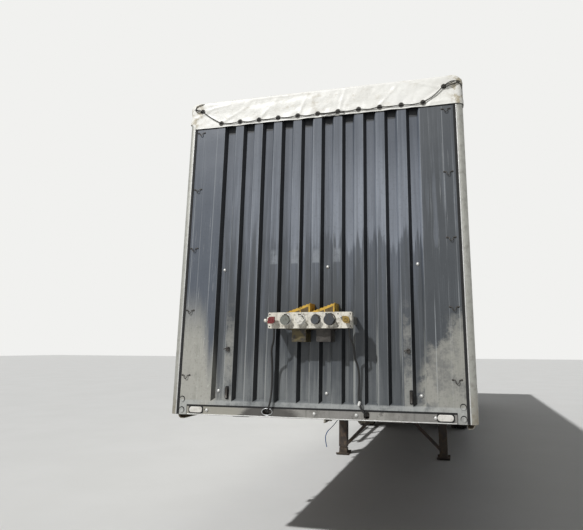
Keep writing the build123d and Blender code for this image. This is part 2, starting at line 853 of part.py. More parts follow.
# Locking bars: two rods per door in stand brackets, each with a lever towards the other
with BuildPart() as locking_bars:
    for x, towards in zip(bar_xs, (1, -1)):
        with BuildSketch(Plane.XY.offset(bar_low)):
            with Locations((x, rear - bar_set)):
                Circle(bar_r)
        extrude(amount=bar_high - bar_low)
        with BuildSketch(Plane.XZ.offset(-door_face)):
            for z in stand_zs:
                with Locations((x, z)):
                    Rectangle(stand_w, stand_h)
        extrude(amount=-(door_set - bar_set))
        with BuildSketch(Plane.XZ.offset(-(rear - bar_set - handle_set))):
            with Locations((x + towards * handle_long / 2, handle_z)):
                Rectangle(handle_long, handle_h)
        extrude(amount=-handle_t)
save(locking_bars.part, "locking_bars_right")
save(left_of(locking_bars.part), "locking_bars_left")

# Underrun bar on its struts, the lamp beam below the sill and the buffers on the sill
strut_y = frame_front - strut_set
with BuildPart() as rear_bumper:
    with BuildSketch(Plane.YZ.offset(-bumper_half)):
        with Locations((strut_y + bumper_t / 2, bumper_z)):
            RectangleRounded(bumper_t, bumper_h, bumper_round)
    extrude(amount=2 * bumper_half)
    with BuildSketch(Plane.XZ.offset(-(strut_y - strut_w))):
        for side in (-1, 1):
            with Locations((side * beam_x, (bumper_z - bumper_h / 2 + tail_low) / 2)):
                Rectangle(strut_w, tail_low - bumper_z + bumper_h / 2)
    extrude(amount=-strut_w)
    with BuildSketch(Plane.XZ.offset(-frame_front)):
        with Locations((0, sill_low - lamp_beam_h / 2)):
            Rectangle(2 * bumper_half, lamp_beam_h)
    extrude(amount=-lamp_beam_t)
    with BuildSketch(Plane.XZ.offset(-(rear - sill_set))):
        for side in (-1, 1):
            with Locations((side * buffer_x, buffer_low + buffer_h / 2)):
                RectangleRounded(buffer_w, buffer_h, buffer_w / 5)
    extrude(amount=-buffer_t)
save(rear_bumper.part, "rear_bumper")

for name, side in (("left", -1), ("right", 1)):
    with BuildPart() as rear_lamp:
        with BuildSketch(Plane.XZ.offset(-(frame_front + lamp_beam_t))):
            with Locations((side * (bumper_half - rear_lamp_w / 2 - rear_lamp_in), sill_low - lamp_beam_h / 2)):
                RectangleRounded(rear_lamp_w, lamp_beam_h - rear_lamp_in / 2, rear_lamp_in)
        extrude(amount=-rear_lamp_t)
    save(rear_lamp.part, f"rear_lamp_{name}")

# Axles: a square beam with a drum and a spindle at each end, and a brake chamber behind it inside each arm
beam_end = track / 2 - drum_in
with BuildPart() as axles:
    for y in axle_ys:
        with Locations((0, front + y, tyre_r)):
            Box(2 * beam_end, axle_box, axle_box)
            Cylinder(spindle_r, 2 * (track / 2 + spindle_out), rotation=(0, 90, 0))
        for side in (-1, 1):
            with Locations((side * (track / 2 - (drum_in + drum_out) / 2), front + y, tyre_r)):
                Cylinder(drum_r, drum_in - drum_out, rotation=(0, 90, 0))
            chamber_x = side * (beam_x - chamber_in)
            chamber_y = front + y + axle_box / 2 + chamber_arm
            with Locations((chamber_x, chamber_y - chamber_arm / 2, tyre_r)):
                Box(axle_box / 2, chamber_arm, axle_box / 2)
            for step_start, step_end, step_r in chamber_steps:
                with Locations((chamber_x, chamber_y + (step_start + step_end) / 2, tyre_r)):
                    Cylinder(step_r, step_end - step_start, rotation=(90, 0, 0))
save(axles.part, "axles")

# Hanger brackets below the beams, one ahead of each axle end
eye_z = tyre_r + axle_box / 2 + eye_rise
with BuildPart() as hanger_brackets:
    for y in axle_ys:
        for side in (-1, 1):
            with BuildSketch(Plane.XY.offset(eye_z - hanger_drop)):
                with Locations((side * beam_x, front + y - hanger_ahead)):
                    Rectangle(arm_w + 2 * hanger_wall, hanger_long)
                    Rectangle(arm_w + 2 * arm_air, hanger_long + 1, mode=Mode.SUBTRACT)
            extrude(amount=2 * hanger_drop)
            with BuildSketch(Plane.XY.offset(eye_z + hanger_drop)):
                with Locations((side * beam_x, front + y - hanger_ahead)):
                    Rectangle(arm_w + 2 * hanger_wall, hanger_long)
            extrude(amount=beam_low - eye_z - hanger_drop)
            with Locations((side * beam_x, front + y - hanger_ahead, eye_z)):
                Cylinder(eye_r, arm_w + hanger_wall, rotation=(0, 90, 0))
save(hanger_brackets.part, "hanger_brackets")

# Trailing arms over the axles, from the hangers back to the air bags
arm_low = tyre_r + axle_box / 2
arm_outline = (  # y from the axle, z
    (-hanger_ahead - arm_front, eye_z - 40),
    (-120, arm_low),
    (axle_box / 2 + 35, arm_low),
    (axle_box / 2 + 75, arm_low - arm_tail_t),
    (bag_behind + arm_tail, arm_low - arm_tail_t),
    (bag_behind + arm_tail, arm_low),
    (bag_behind - arm_tail - 15, arm_low),
    (axle_box / 2 + 60, arm_low + 55),
    (-120, arm_low + 75),
    (-hanger_ahead - arm_front, eye_z + 40),
)
with BuildPart() as trailing_arms:
    for y in axle_ys:
        for side in (-1, 1):
            with BuildSketch(Plane.YZ.offset(side * beam_x)):
                with BuildLine():
                    Polyline(*[(front + y + dy, z) for dy, z in arm_outline], close=True)
                make_face()
                with Locations((front + y - hanger_ahead, eye_z)):
                    Circle(eye_r + eye_air, mode=Mode.SUBTRACT)
            extrude(amount=arm_w / 2, both=True)
save(trailing_arms.part, "trailing_arms")

# Air bags between the arms' tails and the beams: a piston with two lobes of bellows above it
bag_h = beam_low - arm_low
bag_points = [(0, 0), *bag_outline, (0, 1)]
with BuildPart() as air_bags:
    for y in axle_ys:
        for side in (-1, 1):
            bag_y = y + bag_behind
            with BuildSketch(station(bag_y)):
                with BuildLine():
                    Polyline(*[(side * beam_x + r, arm_low + share * bag_h) for r, share in bag_points], close=True)
                make_face()
            revolve(axis=Axis((side * beam_x, front + bag_y, 0), (0, 0, 1)))
save(air_bags.part, "air_bags")

# Wheels: a tyre and a rim with its hub on each axle end, and hand holes round the rim's disc
# Half of the tyre's outline from the bead out to the tread: distance from its middle, radius
half_tyre = (
    (seat_half - seat_air, bead_r + seat_air),
    (seat_half - seat_air, rim_lip_r + 1),
    (tyre_w / 2, wall_r),
    (shoulder_w / 2, shoulder_r),
    (tread_w / 2, tyre_r),
)
tyre_outline = [(-a, r) for a, r in half_tyre] + [(a, r) for a, r in reversed(half_tyre)]
spindle_bore = spindle_r + spindle_clear
dish_in = 58  # rise of the dish from the disc's face to the barrel
rim_outline = (  # along the axle towards the outside, radius
    (-seat_half, spindle_bore), (-seat_half, hub_flange_r), (-drum_gap, hub_flange_r), (-drum_gap, hub_r),
    (disc_face - disc_t - 22, hub_r), (disc_face - disc_t - 22, 172), (disc_face - disc_t, 172), (disc_face - disc_t, disc_r - 3),
    (disc_face - dish_in - 22, rim_under_r), (-rim_half, rim_under_r), (-rim_half, rim_lip_r), (-seat_half, rim_lip_r),
    (-seat_half, bead_r), (seat_half, bead_r), (seat_half, rim_lip_r), (rim_half, rim_lip_r),
    (rim_half, rim_under_r), (disc_face - dish_in, rim_under_r), (disc_face, disc_r), (disc_face, cap_r + 10),
    (cap_reach - 14, cap_r), (cap_reach, cap_r - 14), (cap_reach, 0), (spindle_in, 0), (spindle_in, spindle_bore),
)
for axle_number, y in enumerate(axle_ys, start=1):
    for name, side in (("left", -1), ("right", 1)):
        middle = side * track / 2
        turning = Axis((middle, front + y, tyre_r), (1, 0, 0))
        with BuildPart() as tyre:
            with BuildSketch(Plane.XZ.offset(-(front + y))):
                with BuildLine():
                    Polyline(*[(middle + side * a, tyre_r + r) for a, r in tyre_outline], close=True)
                make_face()
            revolve(axis=turning)
        save(tyre.part, f"tyre_{axle_number}_{name}")
        with BuildPart() as rim:
            with BuildSketch(Plane.XZ.offset(-(front + y))):
                with BuildLine():
                    Polyline(*[(middle + side * a, tyre_r + r) for a, r in rim_outline], close=True)
                make_face()
            revolve(axis=turning)
            with BuildSketch(Plane.YZ.offset(middle)):
                with Locations((front + y, tyre_r)):
                    with PolarLocations(hole_ring_r, hole_count):
                        Circle(hole_r)
            extrude(amount=side * rim_half, mode=Mode.SUBTRACT)
        save(rim.part, f"wheel_{axle_number}_{name}")

# Mudguards over the tyres, on stays from the beams
with BuildPart() as mudguards:
    for y in axle_ys:
        with BuildSketch(Plane.YZ.offset(track / 2 - mudguard_w / 2)):
            with BuildLine():
                hub_point = (front + y, tyre_r)
                arc_start = 90 - mudguard_half_angle
                outer_arc = CenterArc(hub_point, mudguard_r, arc_start, 2 * mudguard_half_angle)
                inner_arc = CenterArc(hub_point, mudguard_r - mudguard_t, arc_start, 2 * mudguard_half_angle)
                Line(outer_arc @ 0, inner_arc @ 0)
                Line(outer_arc @ 1, inner_arc @ 1)
            make_face()
        extrude(amount=mudguard_w)
        with BuildSketch(Plane.YZ.offset(web_face)):
            with Locations((front + y, tyre_r)):
                for stay_angle in stay_angles:
                    with PolarLocations(mudguard_r + stay_r - mudguard_t / 2, 1, stay_angle):
                        Circle(stay_r)
        extrude(amount=track / 2 + mudguard_w / 2 - web_face)
save(mudguards.part, "mudguards_right")
save(left_of(mudguards.part), "mudguards_left")

# Landing legs: an outer box on a plate bolted to the beam, an inner leg and a foot turned up at both ends
leg_top = beam_top - flange_t
leg_mid_y = front + leg_y
leg_in_face = leg_x - leg_box / 2
foot_half = foot_long / 2
foot_outline = (  # y from the leg's middle, z
    (-foot_half, foot_rise), (-foot_half + foot_bend, 0), (foot_half - foot_bend, 0), (foot_half, foot_rise),
    (foot_half, foot_rise + foot_t), (foot_half - foot_bend, foot_t), (-foot_half + foot_bend, foot_t), (-foot_half, foot_rise + foot_t),
)
with BuildPart() as landing_leg:
    with Locations((leg_x, leg_mid_y, (leg_box_low + leg_top) / 2)):
        Box(leg_box, leg_box, leg_top - leg_box_low)
    with Locations((leg_x, leg_mid_y, (foot_t + leg_box_low) / 2)):
        Box(leg_inner, leg_inner, leg_box_low - foot_t)
    for side in (-1, 1):
        with Locations((leg_x + side * (leg_inner + foot_lug_t) / 2, leg_mid_y, foot_t + foot_lug_h / 2)):
            Box(foot_lug_t, leg_inner, foot_lug_h)
    with BuildSketch(Plane.YZ.offset(leg_x - foot_w / 2)):
        with BuildLine():
            Polyline(*[(leg_mid_y + dy, z) for dy, z in foot_outline], close=True)
        make_face()
    extrude(amount=foot_w)
    with Locations(((flange_edge + leg_in_face) / 2, leg_mid_y, (beam_low + leg_top) / 2)):
        Box(leg_in_face - flange_edge, leg_plate_w, leg_top - beam_low)
save(left_of(landing_leg.part), "landing_leg_left")

# The right leg also has the gearbox, with its crank folded down
gear_out = leg_x + leg_box / 2 + gear_d
with BuildPart() as driven_leg:
    add(landing_leg.part)
    with Locations((gear_out - gear_d / 2, leg_mid_y, shaft_z)):
        Box(gear_d, gear_w, gear_h)
    with Locations((gear_out + crank_reach / 2, leg_mid_y, shaft_z)):
        Cylinder(crank_r, crank_reach, rotation=(0, 90, 0))
    with Locations((gear_out + crank_reach, leg_mid_y, shaft_z + crank_r - crank_drop / 2)):
        Cylinder(crank_r, crank_drop)
save(driven_leg.part, "landing_leg_right")

# Between the legs: the drive shaft, and two braces that rise to the middle of a cross bar
with BuildPart() as leg_braces:
    with BuildSketch(Plane.YZ.offset(-leg_in_face)):
        with Locations((leg_mid_y, shaft_z)):
            Circle(shaft_r)
    extrude(amount=2 * leg_in_face)
    with BuildSketch(Plane.XZ.offset(-(leg_mid_y - brace_ahead))):
        with BuildLine():
            Polyline(
                (-leg_in_face, brace_low),
                (0, brace_high),
                (leg_in_face, brace_low),
                (leg_in_face, brace_low + brace_h),
                (0, brace_high + brace_h),
                (-leg_in_face, brace_low + brace_h),
                close=True,
            )
        make_face()
        with Locations((0, brace_high + brace_h / 2)):
            Rectangle(2 * inner_web, brace_h)
    extrude(amount=brace_t)
save(leg_braces.part, "leg_braces")

# Side guards: two grooved rails, seated on three posts under the side rail
guard_long = guard_rear_y - guard_front_y
guard_mid = front + (guard_front_y + guard_rear_y) / 2
guard_in = guard_out - guard_t
post_top = hook_low
post_bottom = guard_zs[0] - guard_h / 2
with BuildPart() as side_guard:
    for z in guard_zs:
        with Locations((guard_out - guard_t / 2, guard_mid, z)):
            Box(guard_t, guard_long, guard_h)
        with Locations((guard_out - guard_groove / 2, guard_mid, z)):
            Box(guard_groove, guard_long, guard_groove_w, mode=Mode.SUBTRACT)
    for y in guard_post_ys:
        with Locations((guard_in - seat_air - guard_post_t / 2, front + y, (post_bottom + post_top) / 2)):
            Box(guard_post_t, guard_post_w, post_top - post_bottom)
save(side_guard.part, "side_guard_right")
save(left_of(side_guard.part), "side_guard_left")

# Air tanks across the frame, on lugs that reach the beams' webs
with BuildPart() as air_tanks:
    for y in tank_ys:
        with Locations((0, front + y, tank_z)):
            Cylinder(tank_r, tank_long, rotation=(0, 90, 0))
            Box(2 * inner_web, tank_lug, tank_lug)
save(air_tanks.part, "air_tanks")
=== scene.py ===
# %% [markdown]
# # Dressing a curtain-side semi trailer
# The imported model gives the frame, every joint and every hard part. This script adds what it can't hold:
# cloth, cords, rubber seals, tyre treads, small fasteners and every finish. It starts by loading that frame.

# %% Load the frame
import bmesh
import bpy
from math import cos, pi, radians, sin
from mathutils import Matrix, Vector, noise


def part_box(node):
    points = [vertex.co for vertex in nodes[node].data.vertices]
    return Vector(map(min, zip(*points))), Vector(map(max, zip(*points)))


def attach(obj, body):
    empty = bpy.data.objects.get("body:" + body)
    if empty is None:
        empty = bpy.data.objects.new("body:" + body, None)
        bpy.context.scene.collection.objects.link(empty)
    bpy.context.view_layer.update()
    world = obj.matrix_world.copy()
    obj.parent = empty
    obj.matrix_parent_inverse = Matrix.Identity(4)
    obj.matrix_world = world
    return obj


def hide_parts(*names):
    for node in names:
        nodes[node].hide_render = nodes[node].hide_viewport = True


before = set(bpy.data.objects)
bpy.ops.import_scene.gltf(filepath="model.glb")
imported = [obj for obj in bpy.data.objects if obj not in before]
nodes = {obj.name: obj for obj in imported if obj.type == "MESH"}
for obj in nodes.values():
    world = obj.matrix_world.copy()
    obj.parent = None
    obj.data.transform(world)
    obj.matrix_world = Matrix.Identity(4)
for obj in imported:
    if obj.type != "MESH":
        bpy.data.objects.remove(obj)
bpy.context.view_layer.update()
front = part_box("headboard")[0][1]
hinge_thick = 0.011
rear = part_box("rear_frame")[1][1] - hinge_thick
sides = (("left", -1), ("right", 1))
print("headboard's face at", round(front, 4), "door hinges at", round(rear, 4), "nodes", len(nodes))

# %% [markdown]
# ## The camera
# A camera is three things: a place, a direction and a lens. All three were fitted to the headboard's corners,
# the eyelets of the flap and the feet of the landing legs in the photograph. The rows of the turning matrix
# are built from yaw, pitch and roll, because these are the angles that such a fit gives.

# %% Camera
image_w, image_h = 583, 530
focal_px, centre_px = 510.0, (338.0, 237.0)
yaw, pitch, roll = radians(13.512), radians(12.254), radians(0.264)
eye = Vector((1.178, front - 4.100, 1.704))

ahead = Vector((-sin(yaw) * cos(pitch), cos(yaw) * cos(pitch), sin(pitch)))
level = Vector((cos(yaw), sin(yaw), 0))
upright = level.cross(ahead)
side_axis = cos(roll) * level + sin(roll) * upright
up_axis = cos(roll) * upright - sin(roll) * level

bpy.ops.object.camera_add(location=eye)
camera = bpy.context.object
camera.rotation_euler = Matrix((side_axis, up_axis, -ahead)).transposed().to_euler()
camera.data.sensor_width = 36
camera.data.lens = focal_px / image_w * camera.data.sensor_width
camera.data.shift_x = -(centre_px[0] - image_w / 2) / image_w
camera.data.shift_y = (centre_px[1] - image_h / 2) / image_w
camera.data.clip_end = 200
bpy.context.scene.camera = camera
print("lens", round(camera.data.lens, 2), "mm, shift", round(camera.data.shift_x, 4), round(camera.data.shift_y, 4))

# %% [markdown]
# ## Helpers for materials
# A finish is a small graph of nodes. One function adds a node with its settings, its plain values and its
# links. All else works with patterns, which are outputs that change over the surface. Patterns are multiplied,
# added and subtracted like numbers, so a finish reads as a list of layers. Colours are picked on a screen as
# sRGB hex, while the shader works in linear light, so one function turns the first into the second.

# %% Nodes and patterns
def colour(code):
    """An sRGB hex colour as the linear RGBA that shaders use."""
    parts = [int(code[i:i + 2], 16) / 255 for i in (1, 3, 5)]
    return [p / 12.92 if p <= 0.04045 else ((p + 0.055) / 1.055) ** 2.4 for p in parts] + [1]


def add(tree, kind, settings=None, values=None, links=None):
    """A new node in the tree, with its settings, its sockets' values and its links."""
    node = tree.nodes.new("ShaderNode" + kind)
    for name, value in (settings or {}).items():
        setattr(node, name, value)
    for socket, value in (values or {}).items():
        node.inputs[socket].default_value = value
    for socket, source in (links or {}).items():
        tree.links.new(getattr(source, "socket", source), node.inputs[socket])
    return node


class Pattern:
    """A node's output that changes over the surface: a place, a colour, or a mask from 0 to 1."""

    def __init__(self, socket):
        self.socket, self.tree = socket, socket.id_data

    def reckon(self, kind, other):
        """Two patterns are held between 0 and 1; a pattern and a plain number aren't."""
        if isinstance(other, Pattern):
            node = add(self.tree, "Math", {"operation": kind, "use_clamp": True}, links={0: self, 1: other})
        else:
            node = add(self.tree, "Math", {"operation": kind}, {1: other}, {0: self})
        return Pattern(node.outputs[0])

    def __mul__(self, other):
        return self.reckon("MULTIPLY", other)

    def __add__(self, other):
        return self.reckon("ADD", other)

    def __sub__(self, other):
        return self.reckon("SUBTRACT", other)

    def __or__(self, other):
        return self.reckon("MAXIMUM", other)


# %% Masks
upwards = (0, 0, 1)


def object_place(tree):
    """The place on the piece in metres, which stays on it in every pose."""
    return Pattern(add(tree, "TexCoord").outputs["Object"])


def ramp(value, start, end, low=0.0, high=1.0, soft=False):
    """A mask that goes from low to high while a value goes from start to end, straight or with soft ends."""
    limits = {"From Min": start, "From Max": end, "To Min": low, "To Max": high}
    return Pattern(add(value.tree, "MapRange", {"interpolation_type": "SMOOTHSTEP"} if soft else {}, limits,
                       {"Value": value}).outputs[0])


def along(place, axis):
    """One coordinate of a place, in metres."""
    return Pattern(add(place.tree, "SeparateXYZ", links={"Vector": place}).outputs[axis])


def fade(place, axis, start, end):
    """A mask that goes softly from 0 at start to 1 at end along one axis."""
    return ramp(along(place, axis), start, end, soft=True)


def patches(place, scale, low, high, detail=4, roughness=0.6):
    """Clouds of noise as a mask, with a soft edge between low and high. Three scales stretch them into streaks."""
    if isinstance(scale, tuple):
        place = Pattern(add(place.tree, "Mapping", values={"Scale": scale}, links={"Vector": place}).outputs[0])
        scale = 1.0
    cloud = add(place.tree, "TexNoise", values={"Scale": scale, "Detail": detail, "Roughness": roughness},
                links={"Vector": place})
    return ramp(Pattern(cloud.outputs["Fac"]), low, high, soft=True)


def torn(place, direction, teeth, reach, start, end):
    """A fade in any direction, whose edge is torn by another mask."""
    run = add(place.tree, "VectorMath", {"operation": "DOT_PRODUCT"}, {1: direction}, {0: place}).outputs["Value"]
    shifted = add(place.tree, "Math", {"operation": "MULTIPLY_ADD"}, {1: reach}, {0: teeth, 2: run})
    return ramp(Pattern(shifted.outputs[0]), start, end, soft=True)


# %% Layers and shaders
def layers(base, *coats):
    """A base colour with more laid over it. Each coat is a mask and the colour that shows where it is 1."""
    for mask, code in coats:
        mixer = add(mask.tree, "Mix", {"data_type": "RGBA"}, {7: colour(code)}, {0: mask})
        if isinstance(base, str):
            mixer.inputs[6].default_value = colour(base)
        else:
            mask.tree.links.new(base.socket, mixer.inputs[6])
        base = Pattern(mixer.outputs[2])
    return base


def new_finish(name, **shader_values):
    """A material with a bare shader. Returns it, its shader and its object coordinates."""
    material = bpy.data.materials.new(name)
    material.use_nodes = True
    shader = material.node_tree.nodes["Principled BSDF"]
    for socket, value in shader_values.items():
        shader.inputs[socket.replace("_", " ")].default_value = value
    return material, shader, object_place(material.node_tree)


def paint(shader, tone, socket="Base Color"):
    """Links a pattern to one of the shader's inputs, its colour as a rule."""
    shader.id_data.links.new(tone.socket, shader.inputs[socket])


def taken_up(material):
    """A finished material taken up again: its shader, its colour so far and its object coordinates."""
    shader = material.node_tree.nodes["Principled BSDF"]
    return shader, Pattern(shader.inputs["Base Color"].links[0].from_socket), object_place(material.node_tree)


def relief(shader, height, distance, strength=0.6, under=None):
    """Bumps the shader's normal by a height mask, over an earlier bump if there is one."""
    bump = add(shader.id_data, "Bump", values={"Distance": distance, "Strength": strength},
               links={"Height": height, **({"Normal": under} if under else {})})
    normal = Pattern(bump.outputs[0])
    paint(shader, normal, "Normal")
    return normal


def worn(name, base, dirt, light, grain, rough, dirt_share=0.6, metal=0.0, bump=0.0006, road_dust=None, runs=0.0):
    """A painted, moulded or metal surface: lighter clouds, dirt in its grain, rain runs, road dust below a height."""
    material, shader, place = new_finish(name, Metallic=metal)
    cloudy = patches(place, 2.2, 0.35, 0.7)
    grit = patches(place, grain, 0.45, 0.75, detail=6)
    speck = patches(place, grain * 9, 0.5, 0.7, detail=3)
    mask = (grit + speck * 0.5) * dirt_share
    tone = layers(base, (cloudy * 0.5, light), (mask, dirt))
    if runs:
        tone = layers(tone, (patches(place, (30, 30, 1.3), 0.46, 0.72, detail=6) * runs, dirt))
    if road_dust:
        code, full, clean = road_dust
        tone = layers(tone, (fade(place, "Z", clean, full) * 0.85 * ((grit + cloudy) * 0.9), code))
    paint(shader, tone)
    paint(shader, ramp(mask, 0, 1, *rough), "Roughness")
    relief(shader, grit + speck, bump)
    return material


def dress(material, *names):
    """Gives CAD nodes a finish. A name without a side means the left and the right one."""
    for name in names:
        for node in [name] if name in nodes else [f"{name}_{side}" for side, sign in sides]:
            for slot in nodes[node].material_slots:
                slot.material = material


# %% [markdown]
# ## Helpers for modelling
# Every new piece starts as a primitive and is shaped in edit mode. Operators act on whatever is selected, and
# the loaded nodes are selected, so each piece starts by deselecting all. Faces are then picked in code by
# which way they look and edges by which way they run, as a modeller would by eye.

# %% Selecting and editing
def pick(*pieces):
    """Selects these pieces alone, with the first one active."""
    bpy.ops.object.select_all(action="DESELECT")
    for piece in pieces:
        piece.select_set(True)
    if pieces:
        bpy.context.view_layer.objects.active = pieces[0]


def settle(piece):
    """Puts the piece's place, turn and size into its mesh."""
    pick(piece)
    bpy.ops.object.transform_apply(location=True, rotation=True, scale=True)


def primitive(kind, name, **settings):
    """A primitive by its operator, named and settled, alone in the selection."""
    pick()
    getattr(bpy.ops.mesh, f"primitive_{kind}_add")(**settings)
    piece = bpy.context.object
    piece.name = name
    settle(piece)
    return piece


def edit(piece, test=None, mode="FACE"):
    """Opens edit mode with all selected, or only the faces or edges that the test wants."""
    pick(piece)
    bpy.ops.object.mode_set(mode="EDIT")
    bpy.ops.mesh.select_mode(type=mode)
    bpy.ops.mesh.select_all(action="DESELECT" if test else "SELECT")
    if test:
        mesh = bmesh.from_edit_mesh(piece.data)
        for part in mesh.faces if mode == "FACE" else mesh.edges:
            part.select_set(test(part.normal) if mode == "FACE" else test(part.verts[0].co, part.verts[1].co))
        bmesh.update_edit_mesh(piece.data)


def done():
    """Leaves edit mode."""
    bpy.ops.object.mode_set(mode="OBJECT")


def resize(piece, size):
    """Scales the whole mesh in edit mode."""
    edit(piece)
    bpy.ops.transform.resize(value=size)
    done()


def looking(way):
    """A test for the faces that look one way, such as -y for ahead, or x for both ends."""
    sign = {"-": -1, "+": 1}.get(way[0])
    return lambda normal: (getattr(normal, way[-1]) * sign if sign else abs(getattr(normal, way[-1]))) > 0.9


def recess(piece, way, *steps):
    """Insets the faces that look one way, once for each pair of width and depth."""
    edit(piece, looking(way))
    for thickness, depth in steps:
        bpy.ops.mesh.inset(thickness=thickness, depth=depth)
    done()


def modify(piece, kind, **settings):
    """Adds a modifier and applies it at once."""
    pick(piece)
    modifier = piece.modifiers.new(kind.title(), kind)
    for name, value in settings.items():
        setattr(modifier, name, value)
    bpy.ops.object.modifier_apply(modifier=modifier.name)


# %% Finishing and copying
def finish(piece, material, slot, body="chassis", stands_for=(), smooth=40):
    """A finished piece: settled, smoothed, painted and riding on its body."""
    settle(piece)
    bpy.ops.object.shade_smooth_by_angle(angle=radians(smooth))
    piece.data.materials.clear()
    piece.data.materials.append(material)
    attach(piece, body)
    if stands_for:
        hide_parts(*stands_for)
    print(piece.name, len(piece.data.polygons), "faces")
    return piece


plain, turned_round = Matrix.Identity(4), Matrix.Rotation(pi, 4, "Z")


def repeat(pattern, points, name, material, slot, body="chassis", turning=plain, keep=False, **more):
    """Copies of one piece, each with its own mesh, joined into one and finished. The pattern goes unless it is kept."""
    settle(pattern)
    copies = []
    for point in points:
        copy = pattern.copy()
        copy.data = pattern.data.copy()
        copy.matrix_world = Matrix.Translation(point) @ turning
        bpy.context.collection.objects.link(copy)
        copies.append(copy)
    pick(*copies)
    bpy.ops.object.join()
    copies[0].name = name
    if not keep:
        bpy.data.objects.remove(pattern)
    return finish(copies[0], material, slot, body, **more)


def moved(points, *shifts):
    """Each point moved by each shift."""
    return [Vector(point) + Vector(shift) for point in points for shift in shifts]


# %% Shapes that come back
facing_ahead = (pi / 2, 0, 0)


def slab(name, size, rounding=0.0, axis=1, at=(0, 0, 0), lean=0.0):
    """A box of a given size with its edges along one axis rounded, at its place and leaning to one side."""
    piece = primitive("cube", name, size=1)
    resize(piece, size)
    if rounding:
        crosswise = [i for i in range(3) if i != axis]
        edit(piece, lambda a, b: all(abs(a[i] - b[i]) < 1e-5 for i in crosswise), "EDGE")
        bpy.ops.mesh.bevel(offset=rounding, segments=4, affect="EDGES")
        done()
    piece.location = at
    piece.rotation_euler = (0, radians(lean), 0)
    return piece


def dome(name, radius, height):
    """A shallow round head, as a rivet or bolt has, that looks ahead."""
    piece = primitive("uv_sphere", name, segments=16, ring_count=8, radius=radius, rotation=facing_ahead)
    resize(piece, (1, height / radius, 1))
    return piece


def wire(name, points, thick):
    """A smooth round wire or cord: a NURBS curve through its control points, with a bevel."""
    data = bpy.data.curves.new(name, "CURVE")
    data.dimensions = "3D"
    spline = data.splines.new("NURBS")
    spline.points.add(len(points) - 1)
    for control, point in zip(spline.points, points):
        control.co = (*point, 1)
    spline.order_u = 3
    spline.use_endpoint_u = True
    spline.resolution_u = 8
    data.bevel_depth = thick / 2
    data.bevel_resolution = 3
    data.use_fill_caps = True
    cord = bpy.data.objects.new(name, data)
    bpy.context.collection.objects.link(cord)
    return cord


def cord_of(name, points, thick, skin):
    """A wire with its skin, riding on the chassis."""
    cord = wire(name, points, thick)
    cord.data.materials.append(skin)
    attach(cord, "chassis")
    return cord


def as_mesh(cord):
    """A curve turned into a mesh."""
    pick(cord)
    bpy.ops.object.convert(target="MESH")
    return bpy.context.object


print("helpers ready")

# %% [markdown]
# ## Finishes of the headboard and its cloth
# The headboard is pressed steel with an anthracite powder coat. Sun has chalked the upper part, rain has drawn
# streaks down it, and dust clings to the lower corners. Light and shade are painted in as well: the side of each
# rib that faces away from the sun is painted dark as shade and the side that faces it lighter low down, a painted
# shadow lies under the flap's hem, the crests' edges carry a painted highlight and the ledge at the foot is
# painted light. Streaks are a noise stretched along Z; chalk and dust are masks by height and width, broken up by
# noise so that no edge is straight.

# %% Powder coat: streaks, chalk and painted highlights on the ribs' edges
headboard_paint, shader, place = new_finish("powder coated pressed steel")
streaks = patches(place, (24, 4, 0.8), 0.36, 0.66, detail=6)
fine_streaks = patches(place, (140, 20, 1.5), 0.5, 0.72, detail=5)
scuffs = patches(place, (95, 20, 1.9), 0.60, 0.68, detail=7, roughness=0.7)
clouds = patches(place, 1.7, 0.36, 0.66, detail=7)
blots = patches(place, 6.5, 0.35, 0.65, detail=9, roughness=0.7)
grit = patches(place, 60, 0.52, 0.72, detail=6)
flat_left = fade(place, "X", -0.892, -0.900)
flats = flat_left + fade(place, "X", 0.900, 0.908)
right_half = fade(place, "X", -0.55, 0.5)
chalk = torn(place, upwards, streaks, 0.20, 2.60, 2.72) * (right_half * 0.5 + fine_streaks * 0.25)
chalk = (chalk | torn(place, upwards, streaks, 0.7, 2.2, 3.3) * 0.6) - flats * 0.55
bright_band = torn(place, upwards, streaks, 0.22, 2.64, 2.74) * torn(place, upwards, fine_streaks, 0.3, 3.65, 2.95)
bright_band = bright_band * (right_half * 0.55 + streaks * 0.45) - flats * 0.7

rib_pitch = 0.188
across = along(place, "X")
from_crest = Pattern(add(place.tree, "Math", {"operation": "PINGPONG"}, {1: rib_pitch / 2}, {0: across}).outputs[0])
valleys = ramp(from_crest, 0.050, 0.056) - flats
on_crest = ramp(from_crest, 0.034, 0.028)
# A painted highlight along both edges of each crest.
crest_edge_painted_highlight = ramp(from_crest, 0.032, 0.036) * ramp(from_crest, 0.0425, 0.039) * (fine_streaks | streaks * 0.5)
# Small lighter patches on the middle crests, between 2.40 and 2.55 m high.
light_crest_patches = fade(place, "Z", 2.400, 2.415) * fade(place, "Z", 2.545, 2.500)
light_crest_patches = light_crest_patches * (fade(place, "X", -0.50, -0.44) * fade(place, "X", 0.24, 0.20)) * on_crest * (blots + fine_streaks)
tone = layers(
    "#3d4145", (clouds * 0.4, "#494d52"), (flat_left * 0.8, "#4e5560"), (chalk, "#535a66"),
    (chalk * patches(place, (60, 9, 0.6), 0.5, 0.66, detail=5) * 0.75, "#3c4148"), (chalk * streaks * 0.4, "#777d87"),
    (bright_band * 0.75, "#8b919b"), (streaks * fine_streaks * 0.30, "#8e9297"),
    (valleys * fade(place, "Z", 2.2, 2.9) * 0.28, "#363c46"), (light_crest_patches * 0.7, "#858a90"), (crest_edge_painted_highlight * 0.75, "#a9adb0"))
print(len(place.tree.nodes), "nodes in the paint so far")
